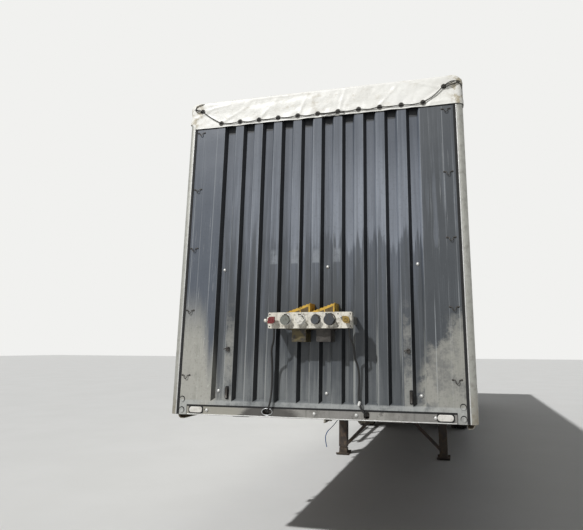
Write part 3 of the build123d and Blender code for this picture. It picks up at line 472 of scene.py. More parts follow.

# %% Powder coat: dust, painted shade and painted light
wide_flats = fade(place, "X", -0.88, -0.93) + fade(place, "X", 0.96, 1.04)
pale_ribs = fade(place, "X", -0.795, -0.788) * fade(place, "X", -0.712, -0.720)
pale_ribs = pale_ribs + fade(place, "X", 0.722, 0.728) * fade(place, "X", 0.790, 0.784)
pale_ribs = pale_ribs * (torn(place, upwards, blots, 0.35, 2.25, 2.0) * (blots * 1.3))
left_dust = torn(place, (-1, 0, -0.22), streaks, 0.05, 0.54, 0.66) * fade(place, "Z", 2.25, 1.7)
right_dust = torn(place, (-1, 0, 1), blots, 0.26, 0.98, 0.78) * torn(place, (1, 0, 0), blots, 0.07, 0.86, 0.95) * 0.8
dust = left_dust + right_dust * (blots + right_dust * 0.55)
low_dust = torn(place, upwards, streaks, -0.3, 1.60, 1.15) * (clouds + streaks) * ramp(across, 0.70, 0.0, low=0.25)
facing = along(Pattern(add(place.tree, "NewGeometry").outputs["Normal"]), "X")
# The rib sides that face right, away from the sun, are painted near black: painted shade.
lee_flank_painted_shade = ramp(facing, 0.45, 0.75)
# A painted shadow of the flap's hem at the top of each valley.
flap_painted_shadow = fade(place, "Z", 3.655, 3.672) * valleys
# The rib sides that face left, towards the sun, are painted lighter low down: painted light.
sunlit_flank_painted_light = ramp(facing, -0.45, -0.75) * torn(place, upwards, fine_streaks, 0.4, 2.3, 1.5) * (streaks * 1.4)
scribble = patches(place, (30, 30, 22), 0.60, 0.66, detail=8, roughness=0.75)
# A lighter band at the foot: painted light on the sloping ledge there.
ledge_painted_light = fade(place, "Z", 1.275, 1.262) * (blots + clouds * 0.5)
tone = layers(
    tone, (scuffs * wide_flats * fade(place, "Z", 3.6, 3.1) * 0.5, "#b4b7b8"), (pale_ribs * 0.6, "#a09f98"),
    # Near black on the rib sides away from the sun and at the valley tops under the hem: painted shade and painted
    # shadow.
    (low_dust * 0.42, "#8b8e8d"), ((lee_flank_painted_shade | flap_painted_shadow) * 0.94, "#0c0f13"),
    # A painted shadow line just below the flap's hem across the whole width, then the painted light on the rib sides
    # facing the sun.
    (fade(place, "Z", 3.716, 3.721) * 0.9, "#0c0f13"), (sunlit_flank_painted_light * 0.7, "#a9aba8"), (dust * 0.85, "#aaa89f"),
    # In the dust, the rib sides away from the sun are painted darker: painted shade.
    (lee_flank_painted_shade * dust * 0.75, "#26272a"), (scuffs * left_dust * 0.6, "#d4d2cb"),
    (scribble * left_dust * 0.55, "#d2d0c8"), ((left_dust + right_dust) * (blots * streaks) * 0.6, "#7d7f76"),
    (ledge_painted_light * 0.7, "#a8aaa8"), (grit * 0.25, "#303236"))
paint(shader, tone)
paint(shader, ramp(chalk + dust, 0, 1, 0.40, 0.68), "Roughness")
relief(shader, grit, 0.0004, 0.4, under=relief(shader, patches(place, 3.1, 0.3, 0.8, detail=1), 0.006, 0.35))
dress(headboard_paint, "headboard")

# %% [markdown]
# The roof, the front flap and the curtains are polyester cloth coated with PVC: off-white, half gloss, with
# grime in the creases and brown water stains at the corners. The weave is under a millimetre and can't show,
# so the relief is the shallow crumple that the coating keeps.

# %% Coated cloth
def coated_cloth(name, base, shade, stain, crumple, stain_share):
    """PVC coated polyester cloth with grime clouds, stains and a shallow crumple."""
    material, shader, place = new_finish(name, Specular_IOR_Level=0.42)
    marks = patches(place, (8, 8, 14.4), 0.55, 0.75, detail=9, roughness=0.65)
    paint(shader, layers(base, (patches(place, 2.6, 0.3, 0.7, detail=5) * 0.55, shade), (marks * stain_share, stain),
                         (patches(place, 85, 0.6, 0.75, detail=3) * 0.12, "#6a6458")))
    paint(shader, ramp(marks, 0, 1, 0.42, 0.62), "Roughness")
    relief(shader, patches(place, 7.5, 0.2, 0.85, detail=3, roughness=0.5), 0.01, crumple)
    return material


flap_cloth = coated_cloth("coated polyester cloth, flap", "#ebeae5", "#d9d7cf", "#a89a7c", 0.35, 0.4)
roof_cloth = coated_cloth("coated polyester cloth, roof", "#dedbd2", "#cfccc2", "#9a9484", 0.25, 0.6)
curtain_cloth = coated_cloth("coated polyester cloth, curtain", "#e4e1d9", "#d6d3ca", "#a39d8e", 0.18, 0.35)

shader, tone, place = taken_up(flap_cloth)
grubby = fade(place, "X", -1.08, -1.20) + fade(place, "X", 1.12, 1.22)
grubby = grubby * patches(place, 16, 0.44, 0.60, detail=6) * fade(place, "Y", front + 0.10, front + 0.06)
paint(shader, layers(tone, (grubby * 0.7, "#94855f")))
print("three cloths")

# %% [markdown]
# ## Finishes of metal, rubber and plastic
# Most other parts share one recipe: a base colour, lighter clouds where it has worn, dirt in the grain and road
# dust up to a height. Each is named for the real material and gets the gloss of that material: extruded
# aluminium goes dull and grey outdoors, galvanised steel keeps a cool shine, rubber and moulded plastic are
# matt, and the underside carries brown dust.

# %% Metals
aluminium = worn("extruded aluminium, weathered", "#a3a39d", "#6b6861", "#babab4", 22, (0.42, 0.7), 0.45, metal=0.75,
                 road_dust=("#8d8472", 1.1, 1.5))
galvanised = worn("galvanised steel", "#a3a5a6", "#77756f", "#b7b9ba", 30, (0.38, 0.65), 0.35, metal=0.85,
                  road_dust=("#8a8172", 0.6, 1.3))
dark_steel = worn("zinc plated steel, tarnished", "#3d3a37", "#1f1c19", "#57534e", 45, (0.4, 0.75), metal=0.5)
pale_steel = worn("zinc plated steel, bright", "#cbcbc8", "#77736b", "#dadad7", 45, (0.35, 0.6), 0.4, metal=0.4)
bare_steel = worn("turned steel, greased", "#8b8a86", "#2b241d", "#a09f9b", 40, (0.25, 0.5), 0.9, metal=1.0)
dress(aluminium, "corner_post", "side_rail", "cant_rail", "roof_bows", "side_guard")
dress(galvanised, "rear_frame", "locking_bars")
dress(bare_steel, "kingpin")

# %% Painted steel and boards
chassis_paint = worn("painted steel, chassis", "#3b3a38", "#57493c", "#4a4947", 12, (0.5, 0.85),
                     road_dust=("#6d6150", 0.5, 1.3))
leg_paint = worn("painted steel, rusting", "#221c19", "#4b3022", "#2e2723", 16, (0.55, 0.9), 0.8, bump=0.0012,
                 road_dust=("#5f5344", 0.1, 0.9))
axle_paint = worn("cast and forged steel, black paint", "#232322", "#4d4336", "#333230", 15, (0.5, 0.9),
                  road_dust=("#655a4a", 0.2, 1.1))
wheel_paint = worn("painted steel wheel", "#9fa09f", "#5f564a", "#aeb0b0", 14, (0.35, 0.75), 0.7,
                   road_dust=("#75695a", 0.1, 0.9))
door_paint = worn("painted aluminium door", "#d8d5cc", "#8d8778", "#e3e0d8", 8, (0.32, 0.6), 0.25,
                  road_dust=("#a79d8b", 1.2, 2.0))
plywood = worn("phenolic coated plywood", "#5a3c28", "#33241a", "#6e4c34", 9, (0.4, 0.7), 0.5)
dress(chassis_paint, "main_beam", "crossmembers", "skid_plate", "hanger_brackets", "rear_bumper")
dress(leg_paint, "landing_leg", "leg_braces")
dress(axle_paint, "axles", "trailing_arms", "air_tanks")
dress(wheel_paint, "wheel_1", "wheel_2", "wheel_3")
dress(door_paint, "rear_door")
dress(plywood, "floor_deck")

# %% Rubber, plastic and woven goods
rubber = worn("moulded rubber, black", "#1c1c1c", "#4a453d", "#262625", 26, (0.6, 0.9), 0.4)
seal_rubber = worn("sealing rubber", "#0a0a0b", "#1d1c1a", "#111112", 30, (0.8, 0.95), 0.3)
tyre_rubber = worn("tyre rubber, dusty", "#232323", "#5b5348", "#2c2c2b", 11, (0.7, 0.95), 0.7,
                   road_dust=("#6f6658", 0.0, 0.7))
black_plastic = worn("moulded polyethylene, black", "#262626", "#57503f", "#333333", 16, (0.5, 0.85), 0.5)
hollow_plastic = worn("moulded polyethylene, shaded and muddy", "#4f3f22", "#2c2417", "#6b5830", 20, (0.6, 0.9), 0.8)
plate_paint = worn("pressed aluminium plate, blank", "#dcdcd6", "#8a8579", "#e8e8e3", 30, (0.35, 0.6), 0.4)
cable_skin = worn("extruded cable sheath", "#141415", "#3d382f", "#212122", 40, (0.4, 0.7), 0.4)
cord_skin = worn("braided polyester cord", "#24231f", "#59544a", "#34322d", 120, (0.7, 0.9), 0.5)
webbing = worn("woven polyester webbing", "#3d3f41", "#6b6559", "#505254", 60, (0.75, 0.95), 0.5)
dress(rubber, "air_bags")
dress(black_plastic, "mudguards")

# %% [markdown]
# Three parts wear in their own way, so their finish is taken up again for more layers. The rail under the
# headboard is creamy at its left end, with a dark oval painted round the cable's slot as the shade of a dent. The
# back of the connector panel is painted dark as the shade it lies in, and the lower half of the wheel chocks is
# painted darker, partly as dried mud and partly as the shade under the panel.

# %% Rail, panel and chocks
rail_paint = worn("painted steel, front rail", "#7e7c78", "#4a4843", "#a3a19a", 14, (0.5, 0.85), 0.45, runs=0.4)
shader, tone, place = taken_up(rail_paint)
smears = patches(place, (8, 8, 30), 0.35, 0.65, detail=6)
# A dark oval round the cable's slot: the painted shade of a dent in the rail.
dent_painted_shade = torn(place, (1, 0, -2.2), smears, 0.05, -3.22, -3.14) * torn(place, (-1, 0, -2.2), smears, 0.05, -2.50, -2.34)
spots = fade(place, "X", -0.1, 0.0) * patches(place, (14, 8, 20), 0.60, 0.70)
paint(shader, layers(tone, (fade(place, "X", -0.55, -0.70) * 0.85, "#98958a"), (dent_painted_shade * 0.85, "#3b3835"),
                     (spots * 0.6, "#3f3b37")))

panel_paint = worn("painted steel, connector panel", "#dcd8cb", "#6f6858", "#efebe0", 30, (0.42, 0.75), 0.8, runs=0.45)
shader, tone, place = taken_up(panel_paint)
# Behind its face the panel is painted dark: painted shade.
paint(shader, layers(tone, (fade(place, "Y", front - 0.150, front - 0.130) * 0.85, "#2e2e2d")))

chock_plastic = worn("moulded polyethylene, yellow", "#c49a30", "#57481f", "#dcb548", 26, (0.45, 0.8), 0.8, runs=0.3)
shader, tone, place = taken_up(chock_plastic)
# The lower part of each chock is painted dark: partly dried mud, partly the painted shade under the panel.
mud_and_painted_shade = fade(place, "Z", 1.93, 1.87)
paint(shader, layers(tone, (mud_and_painted_shade * 0.95, "#4b4429"), (mud_and_painted_shade * fade(place, "X", 0.03, 0.05), "#3f3b36"),
                     (mud_and_painted_shade * patches(place, 14, 0.40, 0.60, detail=6), "#241f1b")))
dress(rail_paint, "front_rail")
dress(panel_paint, "connector_panel")
dress(chock_plastic, "wheel_chocks")

# %% [markdown]
# The couplings and sockets are moulded plastic, each in its own colour, but all the sockets are one node. A
# colour ramp with hard steps, read across the trailer, gives each its own colour.

# %% Moulded couplings and sockets
def by_width(name, rough, *stops):
    """A moulded plastic whose colour changes in steps across the trailer. A stop is a place in metres and a colour."""
    material, shader, place = new_finish(name)
    share = ramp(along(place, "X"), -0.5, 0.5)
    steps = add(place.tree, "ValToRGB", links={"Fac": share})
    steps.color_ramp.interpolation = "CONSTANT"
    while len(steps.color_ramp.elements) < len(stops):
        steps.color_ramp.elements.new(0.5)
    for element, (x, code) in zip(steps.color_ramp.elements, stops):
        element.position = x + 0.5
        element.color = colour(code)
    grime = patches(place, 55, 0.45, 0.68, detail=5)
    paint(shader, layers(Pattern(steps.outputs[0]), (grime * 0.55, "#4b453b")))
    paint(shader, ramp(grime, 0, 1, rough, 0.8), "Roughness")
    relief(shader, grime, 0.0004)
    return material


dress(by_width("moulded polyamide sockets", 0.45, (-0.5, "#6d7069"), (-0.12, "#d9d6cc"), (0.0, "#3f4347"),
               (0.12, "#33363a")), "power_sockets")
dress(by_width("die cast and moulded couplings", 0.4, (-0.5, "#dddad0"), (-0.328, "#74191d"), (0.1, "#8f7532")),
      "air_couplings")

# %% [markdown]
# Lamp lenses are clear or red acrylic over a reflector. Real clear plastic shows what lies behind it, so the
# lens is moulded with fine upright ribs that break the view: a wave texture does that in the relief.

# %% Lamp lenses
def lens(name, base, see_through):
    """Moulded acrylic with upright ribs 4 mm apart."""
    material, shader, place = new_finish(name, Roughness=0.16, Transmission_Weight=see_through, Coat_Weight=0.3)
    paint(shader, layers(base, (patches(place, 30, 0.45, 0.75, detail=5) * 0.35, "#8d8576")))
    ribs = add(place.tree, "TexWave", {"bands_direction": "X"}, {"Scale": 79}, {"Vector": place})
    relief(shader, ribs.outputs["Fac"], 0.001, 0.5)
    return material


clear_lens = lens("moulded acrylic, clear", "#e9e6df", 0.15)
red_lens = lens("moulded acrylic, red", "#8c1512", 0.1)
amber_lens = lens("moulded acrylic, amber", "#c8650f", 0.1)
dress(clear_lens, "marker_lamp")
dress(red_lens, "rear_lamp")
print(len(bpy.data.materials), "materials in all")

# %% [markdown]
# ## Supply cables and the hose
# Two rubber cables come out below the connector panel and run down into slots in the rail below. Each is held
# at both ends and hangs a little loose between. A pale hose hangs from the frame under the front. A NURBS curve
# with the route's points as its controls gives one smooth line, as a stiff cable takes; straight runs with
# rounded corners would look like bent wire.

# %% Cables and hose
hose_skin, shader, place = new_finish("coiled polyamide hose, pale with a blue end", Roughness=0.4)
paint(shader, layers("#c9ced6", (fade(place, "Z", 0.69, 0.64), "#5f86c4")))
cords = (  # node, skin, slot, length, diameter, far end, route: x, distance ahead of the headboard and z in mm
    ("supply_cable_left", cable_skin, "cable_rubber", 0.726, 0.016, "object", (
        (-290, 172, 1853), (-290, 172, 1808), (-300, 146, 1755), (-338, 94, 1690), (-348, 46, 1610), (-350, 26, 1520),
        (-350, 22, 1430), (-352, 24, 1340), (-360, 34, 1262), (-376, 30, 1215), (-388, 0, 1192))),
    ("supply_cable_right", cable_skin, "cable_rubber", 0.733, 0.016, "object", (
        (325, 172, 1853), (325, 172, 1792), (350, 146, 1740), (354, 104, 1680), (350, 66, 1620), (370, 40, 1560),
        (378, 24, 1470), (370, 22, 1380), (368, 24, 1310), (384, 36, 1252), (414, 32, 1212), (427, 0, 1192))),
    ("air_hose", hose_skin, "hose_plastic", 0.789, 0.012, "bare", (
        (-330, -2712, 1150), (-330, -2712, 1060), (-352, -2704, 940), (-418, -2696, 830), (-500, -2692, 716),
        (-592, -2690, 640), (-616, -2690, 545), (-588, -2690, 451))),
)
for node, skin, slot, long, thick, far_end, route in cords:
    points = [(x / 1000, front - out / 1000, z / 1000) for x, out, z in route]
    cord = cord_of(f"{node}_run", points, thick, skin)
    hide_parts(node)
    print(cord.name, "through", len(points), "points")

# %% [markdown]
# ## Front flap
# The roof cloth ends in a flap that is drawn down over the top of the headboard and round both corner posts.
# A cloth simulation would hang it loose, but this one is laced tight, so a flat grid is laid onto the shape
# that the lacing forces on it: round the posts in plan, over the roof's edge in height, with its upper corners
# pulled down. Folds that the lacing draws are added as ridges along short lines, from one table.

# %% Sizes of the flap
flap_face = front - 0.0055
post_x, corner_r = 1.275, 0.052
flap_hem, flap_top, roll_r, over_roof = 3.73, 3.9985, 0.013, 0.018
flat_half = post_x - corner_r
corner_run = corner_r * pi / 2
side_run = 0.062
flap_half = flat_half + corner_run + side_run
upright_run = flap_top - flap_hem - roll_r
roll_run = roll_r * pi / 2
flap_high = upright_run + roll_run + over_roof
corner_drop, drop_from, drop_to = 0.030, 1.203, flat_half + 0.6 * corner_run
first_eyelet, eyelet_z = -0.940, 3.765
eyelets = [(first_eyelet + rib_pitch * i, eyelet_z) for i in range(11)]
last_left, last_right = (-1.141, 3.905), (1.119, 3.894)
folds = (  # run and height at both ends, width, depth
    (-1.21, 3.84, -1.02, 3.93, 0.014, 0.008), (-1.25, 3.80, -1.12, 3.87, 0.010, 0.006),
    (-1.16, 3.90, -0.95, 3.77, 0.012, 0.006), (-1.13, 3.91, -0.86, 3.95, 0.016, 0.006),
    (-0.93, 3.78, -0.70, 3.90, 0.020, 0.004), (-0.56, 3.77, -0.40, 3.95, 0.018, 0.004),
    (-0.18, 3.77, -0.10, 3.97, 0.016, 0.004), (0.20, 3.77, 0.25, 3.97, 0.020, 0.004),
    (0.56, 3.78, 0.72, 3.96, 0.018, 0.004), (0.94, 3.77, 1.12, 3.89, 0.014, 0.009),
    (1.10, 3.89, 0.84, 3.97, 0.018, 0.006), (1.14, 3.89, 1.26, 3.80, 0.012, 0.008),
    (1.13, 3.90, 1.30, 3.93, 0.012, 0.007), (1.00, 3.76, 1.24, 3.77, 0.016, 0.006),
)
print("flap", round(2 * flap_half, 3), "by", round(flap_high, 3), "m with", len(folds), "folds")


# %% The flap's shape
def smooth(value, start, end):
    """0 before start, 1 after end, with a soft way between."""
    share = min(max((value - start) / (end - start), 0), 1)
    return share * share * (3 - 2 * share)


def around(run):
    """A point of the flap's plan and the way it faces, at a run from the middle."""
    side, run = (1 if run >= 0 else -1), abs(run)
    if run < flat_half:
        return side * run, flap_face, 0, -1
    if run < flat_half + corner_run:
        angle = (run - flat_half) / corner_r
        x, y = flat_half + corner_r * sin(angle), flap_face + corner_r * (1 - cos(angle))
        return side * x, y, side * sin(angle), -cos(angle)
    return side * post_x, flap_face + corner_r + run - flat_half - corner_run, side, 0


def fold_height(run, z):
    """How far the folds lift the cloth at one place."""
    lift = 0
    for run0, z0, run1, z1, wide, high in folds:
        to_side, up = run1 - run0, z1 - z0
        share = min(max(((run - run0) * to_side + (z - z0) * up) / (to_side**2 + up**2), 0), 1)
        gap = ((run - run0 - share * to_side) ** 2 + (z - z0 - share * up) ** 2) ** 0.5
        lift += 0.9 * high * max(0, 1 - gap / wide) ** 1.5 * (1 - 0.6 * share)
    return lift


def flap_point(run, rise):
    """The place of the flap's cloth at a run round the posts and a rise from the hem."""
    x, y, face_x, face_y = around(run)
    share = rise / (upright_run + roll_run)
    if rise < upright_run:
        z, inset = flap_hem + rise, 0
    elif rise < upright_run + roll_run:
        angle = (rise - upright_run) / roll_r
        z, inset = flap_hem + upright_run + roll_r * sin(angle), roll_r * (1 - cos(angle))
    else:
        z, inset = flap_top, roll_r + rise - upright_run - roll_run
    z -= corner_drop * smooth(abs(run), drop_from, drop_to) * smooth(share, 0.45, 1.0)
    z += 0.060 * smooth(-run, 1.190, 1.262) * (1 - min(share, 1))
    hem = smooth(share, 0.3, 0.0)
    ripple = 0.0035 * (1 - cos(2 * pi * (x - first_eyelet) / rib_pitch)) * hem if abs(x) < 1.0 else 0.004 * hem
    crumple = 0.0032 * noise.noise(Vector((run * 7, z * 11, 3))) + 0.0016 * noise.noise(Vector((run * 23, z * 19, 8)))
    out = ripple + fold_height(run, z) + crumple * smooth(share, 1.02, 0.8)
    z += 0.003 * noise.noise(Vector((run * 5, 0.5, 1))) * hem
    return Vector((x + face_x * (out - inset), y + face_y * (out - inset), z))


def on_flap(x, z, proud=0.0):
    """The flap's face at a place seen from ahead, a little proud of it."""
    return Vector((x, flap_point(x, z - flap_hem).y - proud, z))


flap = primitive("grid", "front_flap_cloth", x_subdivisions=260, y_subdivisions=28, size=1)
for point in flap.data.vertices:
    point.co = flap_point(point.co.x * 2 * flap_half, (point.co.y + 0.5) * flap_high)
modify(flap, "SOLIDIFY", thickness=0.0012, offset=-1)
finish(flap, flap_cloth, "tarpaulin", stands_for=("roof_flap",), smooth=60)

# %% [markdown]
# The flap's hem has thirteen eyelets. Each is a pressed steel ring over a staple on the headboard, and a cord
# threads the staples, so that the flap can't be lifted. One ring is made from a torus, one staple is half a
# torus, and a black disc inside the ring is the painted shade in its hole; all three are copied to each place
# along the hem.

# %% Eyelets and their staples
eyelet_places = eyelets + [last_left, last_right]
ring = primitive("torus", "ring", major_radius=0.0184, minor_radius=0.0056, major_segments=20, minor_segments=6,
                 rotation=facing_ahead)
resize(ring, (1, 0.55, 1))
# A black disc inside each ring: the painted shade in the eyelet's hole.
hole = primitive("circle", "hole", vertices=16, radius=0.0150, fill_type="NGON", rotation=facing_ahead)
edit(hole)
bpy.ops.mesh.inset(thickness=0.003, depth=-0.0008)
done()
staple = primitive("torus", "staple", major_radius=0.0085, minor_radius=0.0024, major_segments=16, minor_segments=6,
                   rotation=(0, pi / 2, 0))
edit(staple)
bpy.ops.mesh.bisect(plane_co=(0, 0.002, 0), plane_no=(0, 1, 0), use_fill=True, clear_outer=True)
done()
for part, proud, material, slot in ((ring, 0.0030, dark_steel, "galvanised_steel"),
                                    (hole, 0.0036, seal_rubber, "socket_plastic"),
                                    (staple, 0.005, rubber, "galvanised_steel")):
    repeat(part, [on_flap(x, z, proud) for x, z in eyelet_places], f"flap_eyelet_{part.name}s", material, slot)

# %% [markdown]
# The lacing is one dark cord. It runs through the staples with a small sag between them, climbs to the last
# eyelet at each end, and goes round the post. Spare turns lie over both corners, and one hangs in the middle.

# %% Lacing
round_x = 1.2705
lace = [(-round_x, 0.060, 3.842), (-round_x, 0.045, 3.892), (-1.250, 0.006, 3.938), (-1.20, -0.018, 3.930)]
lace = moved(lace, (0, front, 0))
stops = [last_left, *eyelets, last_right]
for number, (start, end) in enumerate(zip(stops, stops[1:])):
    climb = (end[1] - start[1]) * 0.1
    sag = 0.010 + 0.004 * (number % 3)
    lace += [on_flap(*start, 0.013), on_flap(start[0] + 0.02, start[1] - 0.004 + climb, 0.009),
             on_flap((start[0] + end[0]) / 2, (start[1] + end[1]) / 2 - sag, 0.007),
             on_flap(end[0] - 0.02, end[1] - 0.004 - climb, 0.009)]
lace += [on_flap(*last_right, 0.011)]
lace += moved([(1.165, -0.022, 3.925), (1.215, -0.020, 3.935), (1.258, 0.004, 3.915), (round_x, 0.030, 3.86),
               (round_x, 0.040, 3.80), (round_x, 0.036, 3.74), (1.268, 0.030, 3.70)], (0, front, 0))
cord_of("flap_lacing_cord", lace, 0.008, cord_skin)
turns = (  # name, thickness, route: x, distance behind the headboard's face, z
    ("second_turn", 0.007, (
        (1.119, -0.020, 3.896), (1.15, -0.026, 3.902), (1.19, -0.025, 3.917), (1.235, -0.014, 3.936),
        (1.262, 0.008, 3.930), (round_x, 0.030, 3.90))),
    ("third_turn", 0.007, (
        (1.119, -0.018, 3.888), (1.150, -0.024, 3.884), (1.195, -0.022, 3.900), (1.245, -0.010, 3.918),
        (round_x, 0.022, 3.905), (round_x, 0.040, 3.87))),
    ("loop", 0.007, (
        (-1.141, -0.018, 3.905), (-1.175, -0.017, 3.903), (-1.208, -0.013, 3.908), (-1.218, -0.010, 3.934),
        (-1.208, -0.011, 3.960), (-1.180, -0.012, 3.974), (-1.146, -0.012, 3.979), (-1.115, 0.004, 3.988))),
    ("spare_turn", 0.009, (
        (0.03, -0.020, 3.752), (0.055, -0.026, 3.741), (0.10, -0.021, 3.752), (0.14, -0.026, 3.747),
        (0.175, -0.019, 3.757), (0.21, -0.025, 3.742), (0.25, -0.018, 3.748))),
)
for name, thick, points in turns:
    cord_of(f"flap_lacing_{name}", moved(points, (0, front, 0)), thick, cord_skin)
print("lacing through", len(lace), "points")

# %% [markdown]
# ## Fittings on the front
# Small hardware sits on the headboard: rubber in the joints to the posts and the rail, staples for the customs
# cord down both edges, bolts in the valleys, hooks on two crests, and round bosses at the lower corners. Some
# pieces paint light and shade: a pale strip along each post's inner edge and one along the rail's foot are
# painted highlights, the rail's top seal is widened into the painted shadow under the headboard's ledge, a dark
# plate behind each tongue is its painted shadow, and a dark disc set high behind each boss is the painted shadow
# in its dish. Each kind is modelled once, at the origin, and copied to its places.

# %% Joints, painted highlights and a painted shadow
joint_long, joint_z = 2.795, (1.152 + 3.947) / 2
post_seal = slab("post_seal", (0.022, 0.007, joint_long))
repeat(post_seal, [(side * 1.1975, front + 0.0005, joint_z) for side in (-1, 1)], "headboard_post_seals", seal_rubber,
       "socket_plastic")
# A pale strip along each post's inner edge: a painted highlight.
post_painted_highlight = slab("post_painted_highlight", (0.010, 0.009, joint_long), 0.003, axis=2)
repeat(post_painted_highlight, [(side * 1.2140, front + 0.0005, joint_z) for side in (-1, 1)], "post_painted_highlights", pale_steel,
       "aluminium_rail")
# A pale strip along the rail's foot: a painted highlight.
rail_painted_highlight = slab("front_rail_painted_highlight", (2.220, 0.006, 0.007), 0.002, axis=0, at=(0, front - 0.0015, 1.1545))
finish(rail_painted_highlight, pale_steel, "galvanised_steel")
# A black seal over the rail's top: the rubber joint, widened to be the painted shadow under the headboard's ledge.
rail_seal_and_shadow = slab("front_rail_seal_and_painted_shadow", (2.236, 0.006, 0.014), at=(0, front + 0.0015, 1.2250))
finish(rail_seal_and_shadow, seal_rubber, "socket_plastic")

# %% Staples, bolts and bosses
omega = [(-0.036, -0.004, 0.000), (-0.022, -0.005, 0.001), (-0.013, -0.008, -0.004), (-0.014, -0.012, -0.020),
         (0.0, -0.013, -0.032)]  # a staple's wire from its left foot to its middle
omega += [(-x, y, z) for x, y, z in reversed(omega[:-1])]
staple_points = [(x, front, z) for x in (-1.142, 1.127) for z in (3.69, 3.13, 2.575, 2.02, 1.47)]
repeat(as_mesh(wire("omega", omega, 0.006)), staple_points, "cord_staples", dark_steel, "galvanised_steel")
repeat(dome("foot", 0.0085, 0.006), moved(staple_points, (-0.033, 0, 0), (0.033, 0, 0)), "cord_staple_rivets",
       dark_steel, "galvanised_steel")
bolt_points = [(x, front + 0.038, z) for x in (-0.850, 0.096, 0.852) for z in (2.373, 1.344)]
bolt_points += [(x, front, 1.190) for x in (-0.931, 0.006, 0.347, 0.956)]
repeat(dome("bolt", 0.0145, 0.011), bolt_points, "valley_and_rail_bolts", pale_steel, "galvanised_steel")
boss = primitive("cylinder", "boss", vertices=28, radius=0.020, depth=0.007, rotation=facing_ahead)
recess(boss, "-y", (0.004, 0), (0.002, -0.001))
boss_points = [(side * 1.162, front - 0.002, z) for side in (-1, 1) for z in (1.272, 1.186)]
repeat(boss, boss_points, "corner_bosses", headboard_paint, "galvanised_steel")
# A dark disc set high behind each boss: the painted shadow in the boss's dish.
boss_painted_shadow = primitive("cylinder", "boss_painted_shadow", vertices=28, radius=0.0235, depth=0.004, rotation=facing_ahead)
repeat(boss_painted_shadow, moved(boss_points, (0, 0, 0.004)), "corner_boss_painted_shadows", seal_rubber, "socket_plastic")

# %% Hooks and tongues
hook_points = [(x, front - 0.005, z) for x, z in ((-0.764, 1.690), (0.763, 1.682))]
repeat(slab("hook_base", (0.026, 0.014, 0.036), 0.006), hook_points, "crest_hooks", dark_steel, "galvanised_steel")
hook_pin = primitive("cylinder", "hook_pin", vertices=12, radius=0.005, depth=0.048, rotation=(0, radians(72), 0))
repeat(hook_pin, moved(hook_points, (-0.012, -0.008, 0.006)), "crest_hook_pins", dark_steel, "galvanised_steel")
tongue = slab("tongue", (0.020, 0.010, 0.084), 0.004)
recess(tongue, "-y", (0.004, -0.002))
tongue_points = [(x, front - 0.012, 1.335) for x in (-0.757, 0.776)]
repeat(tongue, tongue_points, "crest_tongues", dark_steel, "galvanised_steel")
# A dark plate behind each tongue, set to the right: its painted shadow.
repeat(slab("tongue_painted_shadow", (0.030, 0.006, 0.104), 0.006), moved(tongue_points, (0.004, 0.0115, 0)),
       "crest_tongue_painted_shadows", seal_rubber, "galvanised_steel")

# %% [markdown]
# The marker lamps sit in dark rubber frames, each with a screw beside it. The left cable slot in the rail has a
# pressed rim. On the panel, each socket stands on a ring with a hinge above its lid.

# %% Frames and rims
lamp_low, lamp_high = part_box("marker_lamp_left")
lamp_x, lamp_z = (lamp_low[0] + lamp_high[0]) / 2, (lamp_low[2] + lamp_high[2]) / 2
repeat(slab("lamp_frame", (0.132, 0.006, 0.060), 0.018), [(x, front - 0.0015, lamp_z) for x in (lamp_x, -lamp_x)],
       "lamp_frames", seal_rubber, "socket_plastic")
screw_x = lamp_x + 0.084
repeat(dome("screw", 0.007, 0.005), [(x, front, lamp_z + 0.004) for x in (screw_x, -screw_x)], "lamp_screws",
       dark_steel, "galvanised_steel")
rim = primitive("torus", "rim", major_radius=0.034, minor_radius=0.0036, major_segments=32, minor_segments=8,
                rotation=facing_ahead)
resize(rim, (1.32, 0.8, 0.78))
repeat(rim, [(-0.395, front - 0.001, 1.192)], "cable_slot_rim", galvanised, "galvanised_steel")

# %% Rings, hinges and stubs on the panel
sockets_low, sockets_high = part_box("power_sockets")
panel_face, socket_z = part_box("connector_panel")[0][1], (sockets_low[2] + sockets_high[2]) / 2
socket_rings = ((-0.180, 0.037), (-0.060, 0.034), (0.066, 0.032), (0.180, 0.040))
for number, (x, lid_r) in enumerate(socket_rings):
    flange = primitive("torus", f"socket_ring_{number}", major_radius=lid_r + 0.003, minor_radius=0.0045,
                       major_segments=36, minor_segments=8, location=(x, panel_face - 0.002, socket_z),
                       rotation=facing_ahead)
    finish(flange, pale_steel if number < 2 else dark_steel, "galvanised_steel")
repeat(slab("hinge", (0.022, 0.016, 0.010), 0.004, axis=0),
       [(x, panel_face - 0.020, socket_z + lid_r + 0.002) for x, lid_r in socket_rings], "socket_hinges", dark_steel,
       "galvanised_steel")
for name, radius, depth, place, turning in (
        ("panel_stub", 0.009, 0.022, (0.268, panel_face - 0.010, socket_z + 0.020), facing_ahead),
        ("cable_gland", 0.0115, 0.034, (0.376, front - 0.030, 1.280), (radians(-11), radians(15), 0))):
    finish(primitive("cylinder", name, vertices=18, radius=radius, depth=depth, location=place, rotation=turning),
           pale_steel, "socket_plastic")
repeat(dome("panel_screw", 0.0055, 0.004), [(x, panel_face, z) for x in (-0.318, 0.244, 0.343) for z in (1.868, 1.963)],
       "panel_screws", dark_steel, "galvanised_steel")

# %% [markdown]
# A wheel chock is a hollow moulding. What shows from ahead is its open side: a deep hollow behind thin walls,
# with two slanting webs. The hollow is a dark plate cut to the chock's outline, painted as the hollow's shade, and
# the webs stand in it.

# %% Hollows of the chocks
chock_face, chock_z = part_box("wheel_chocks")[0][1], 1.750
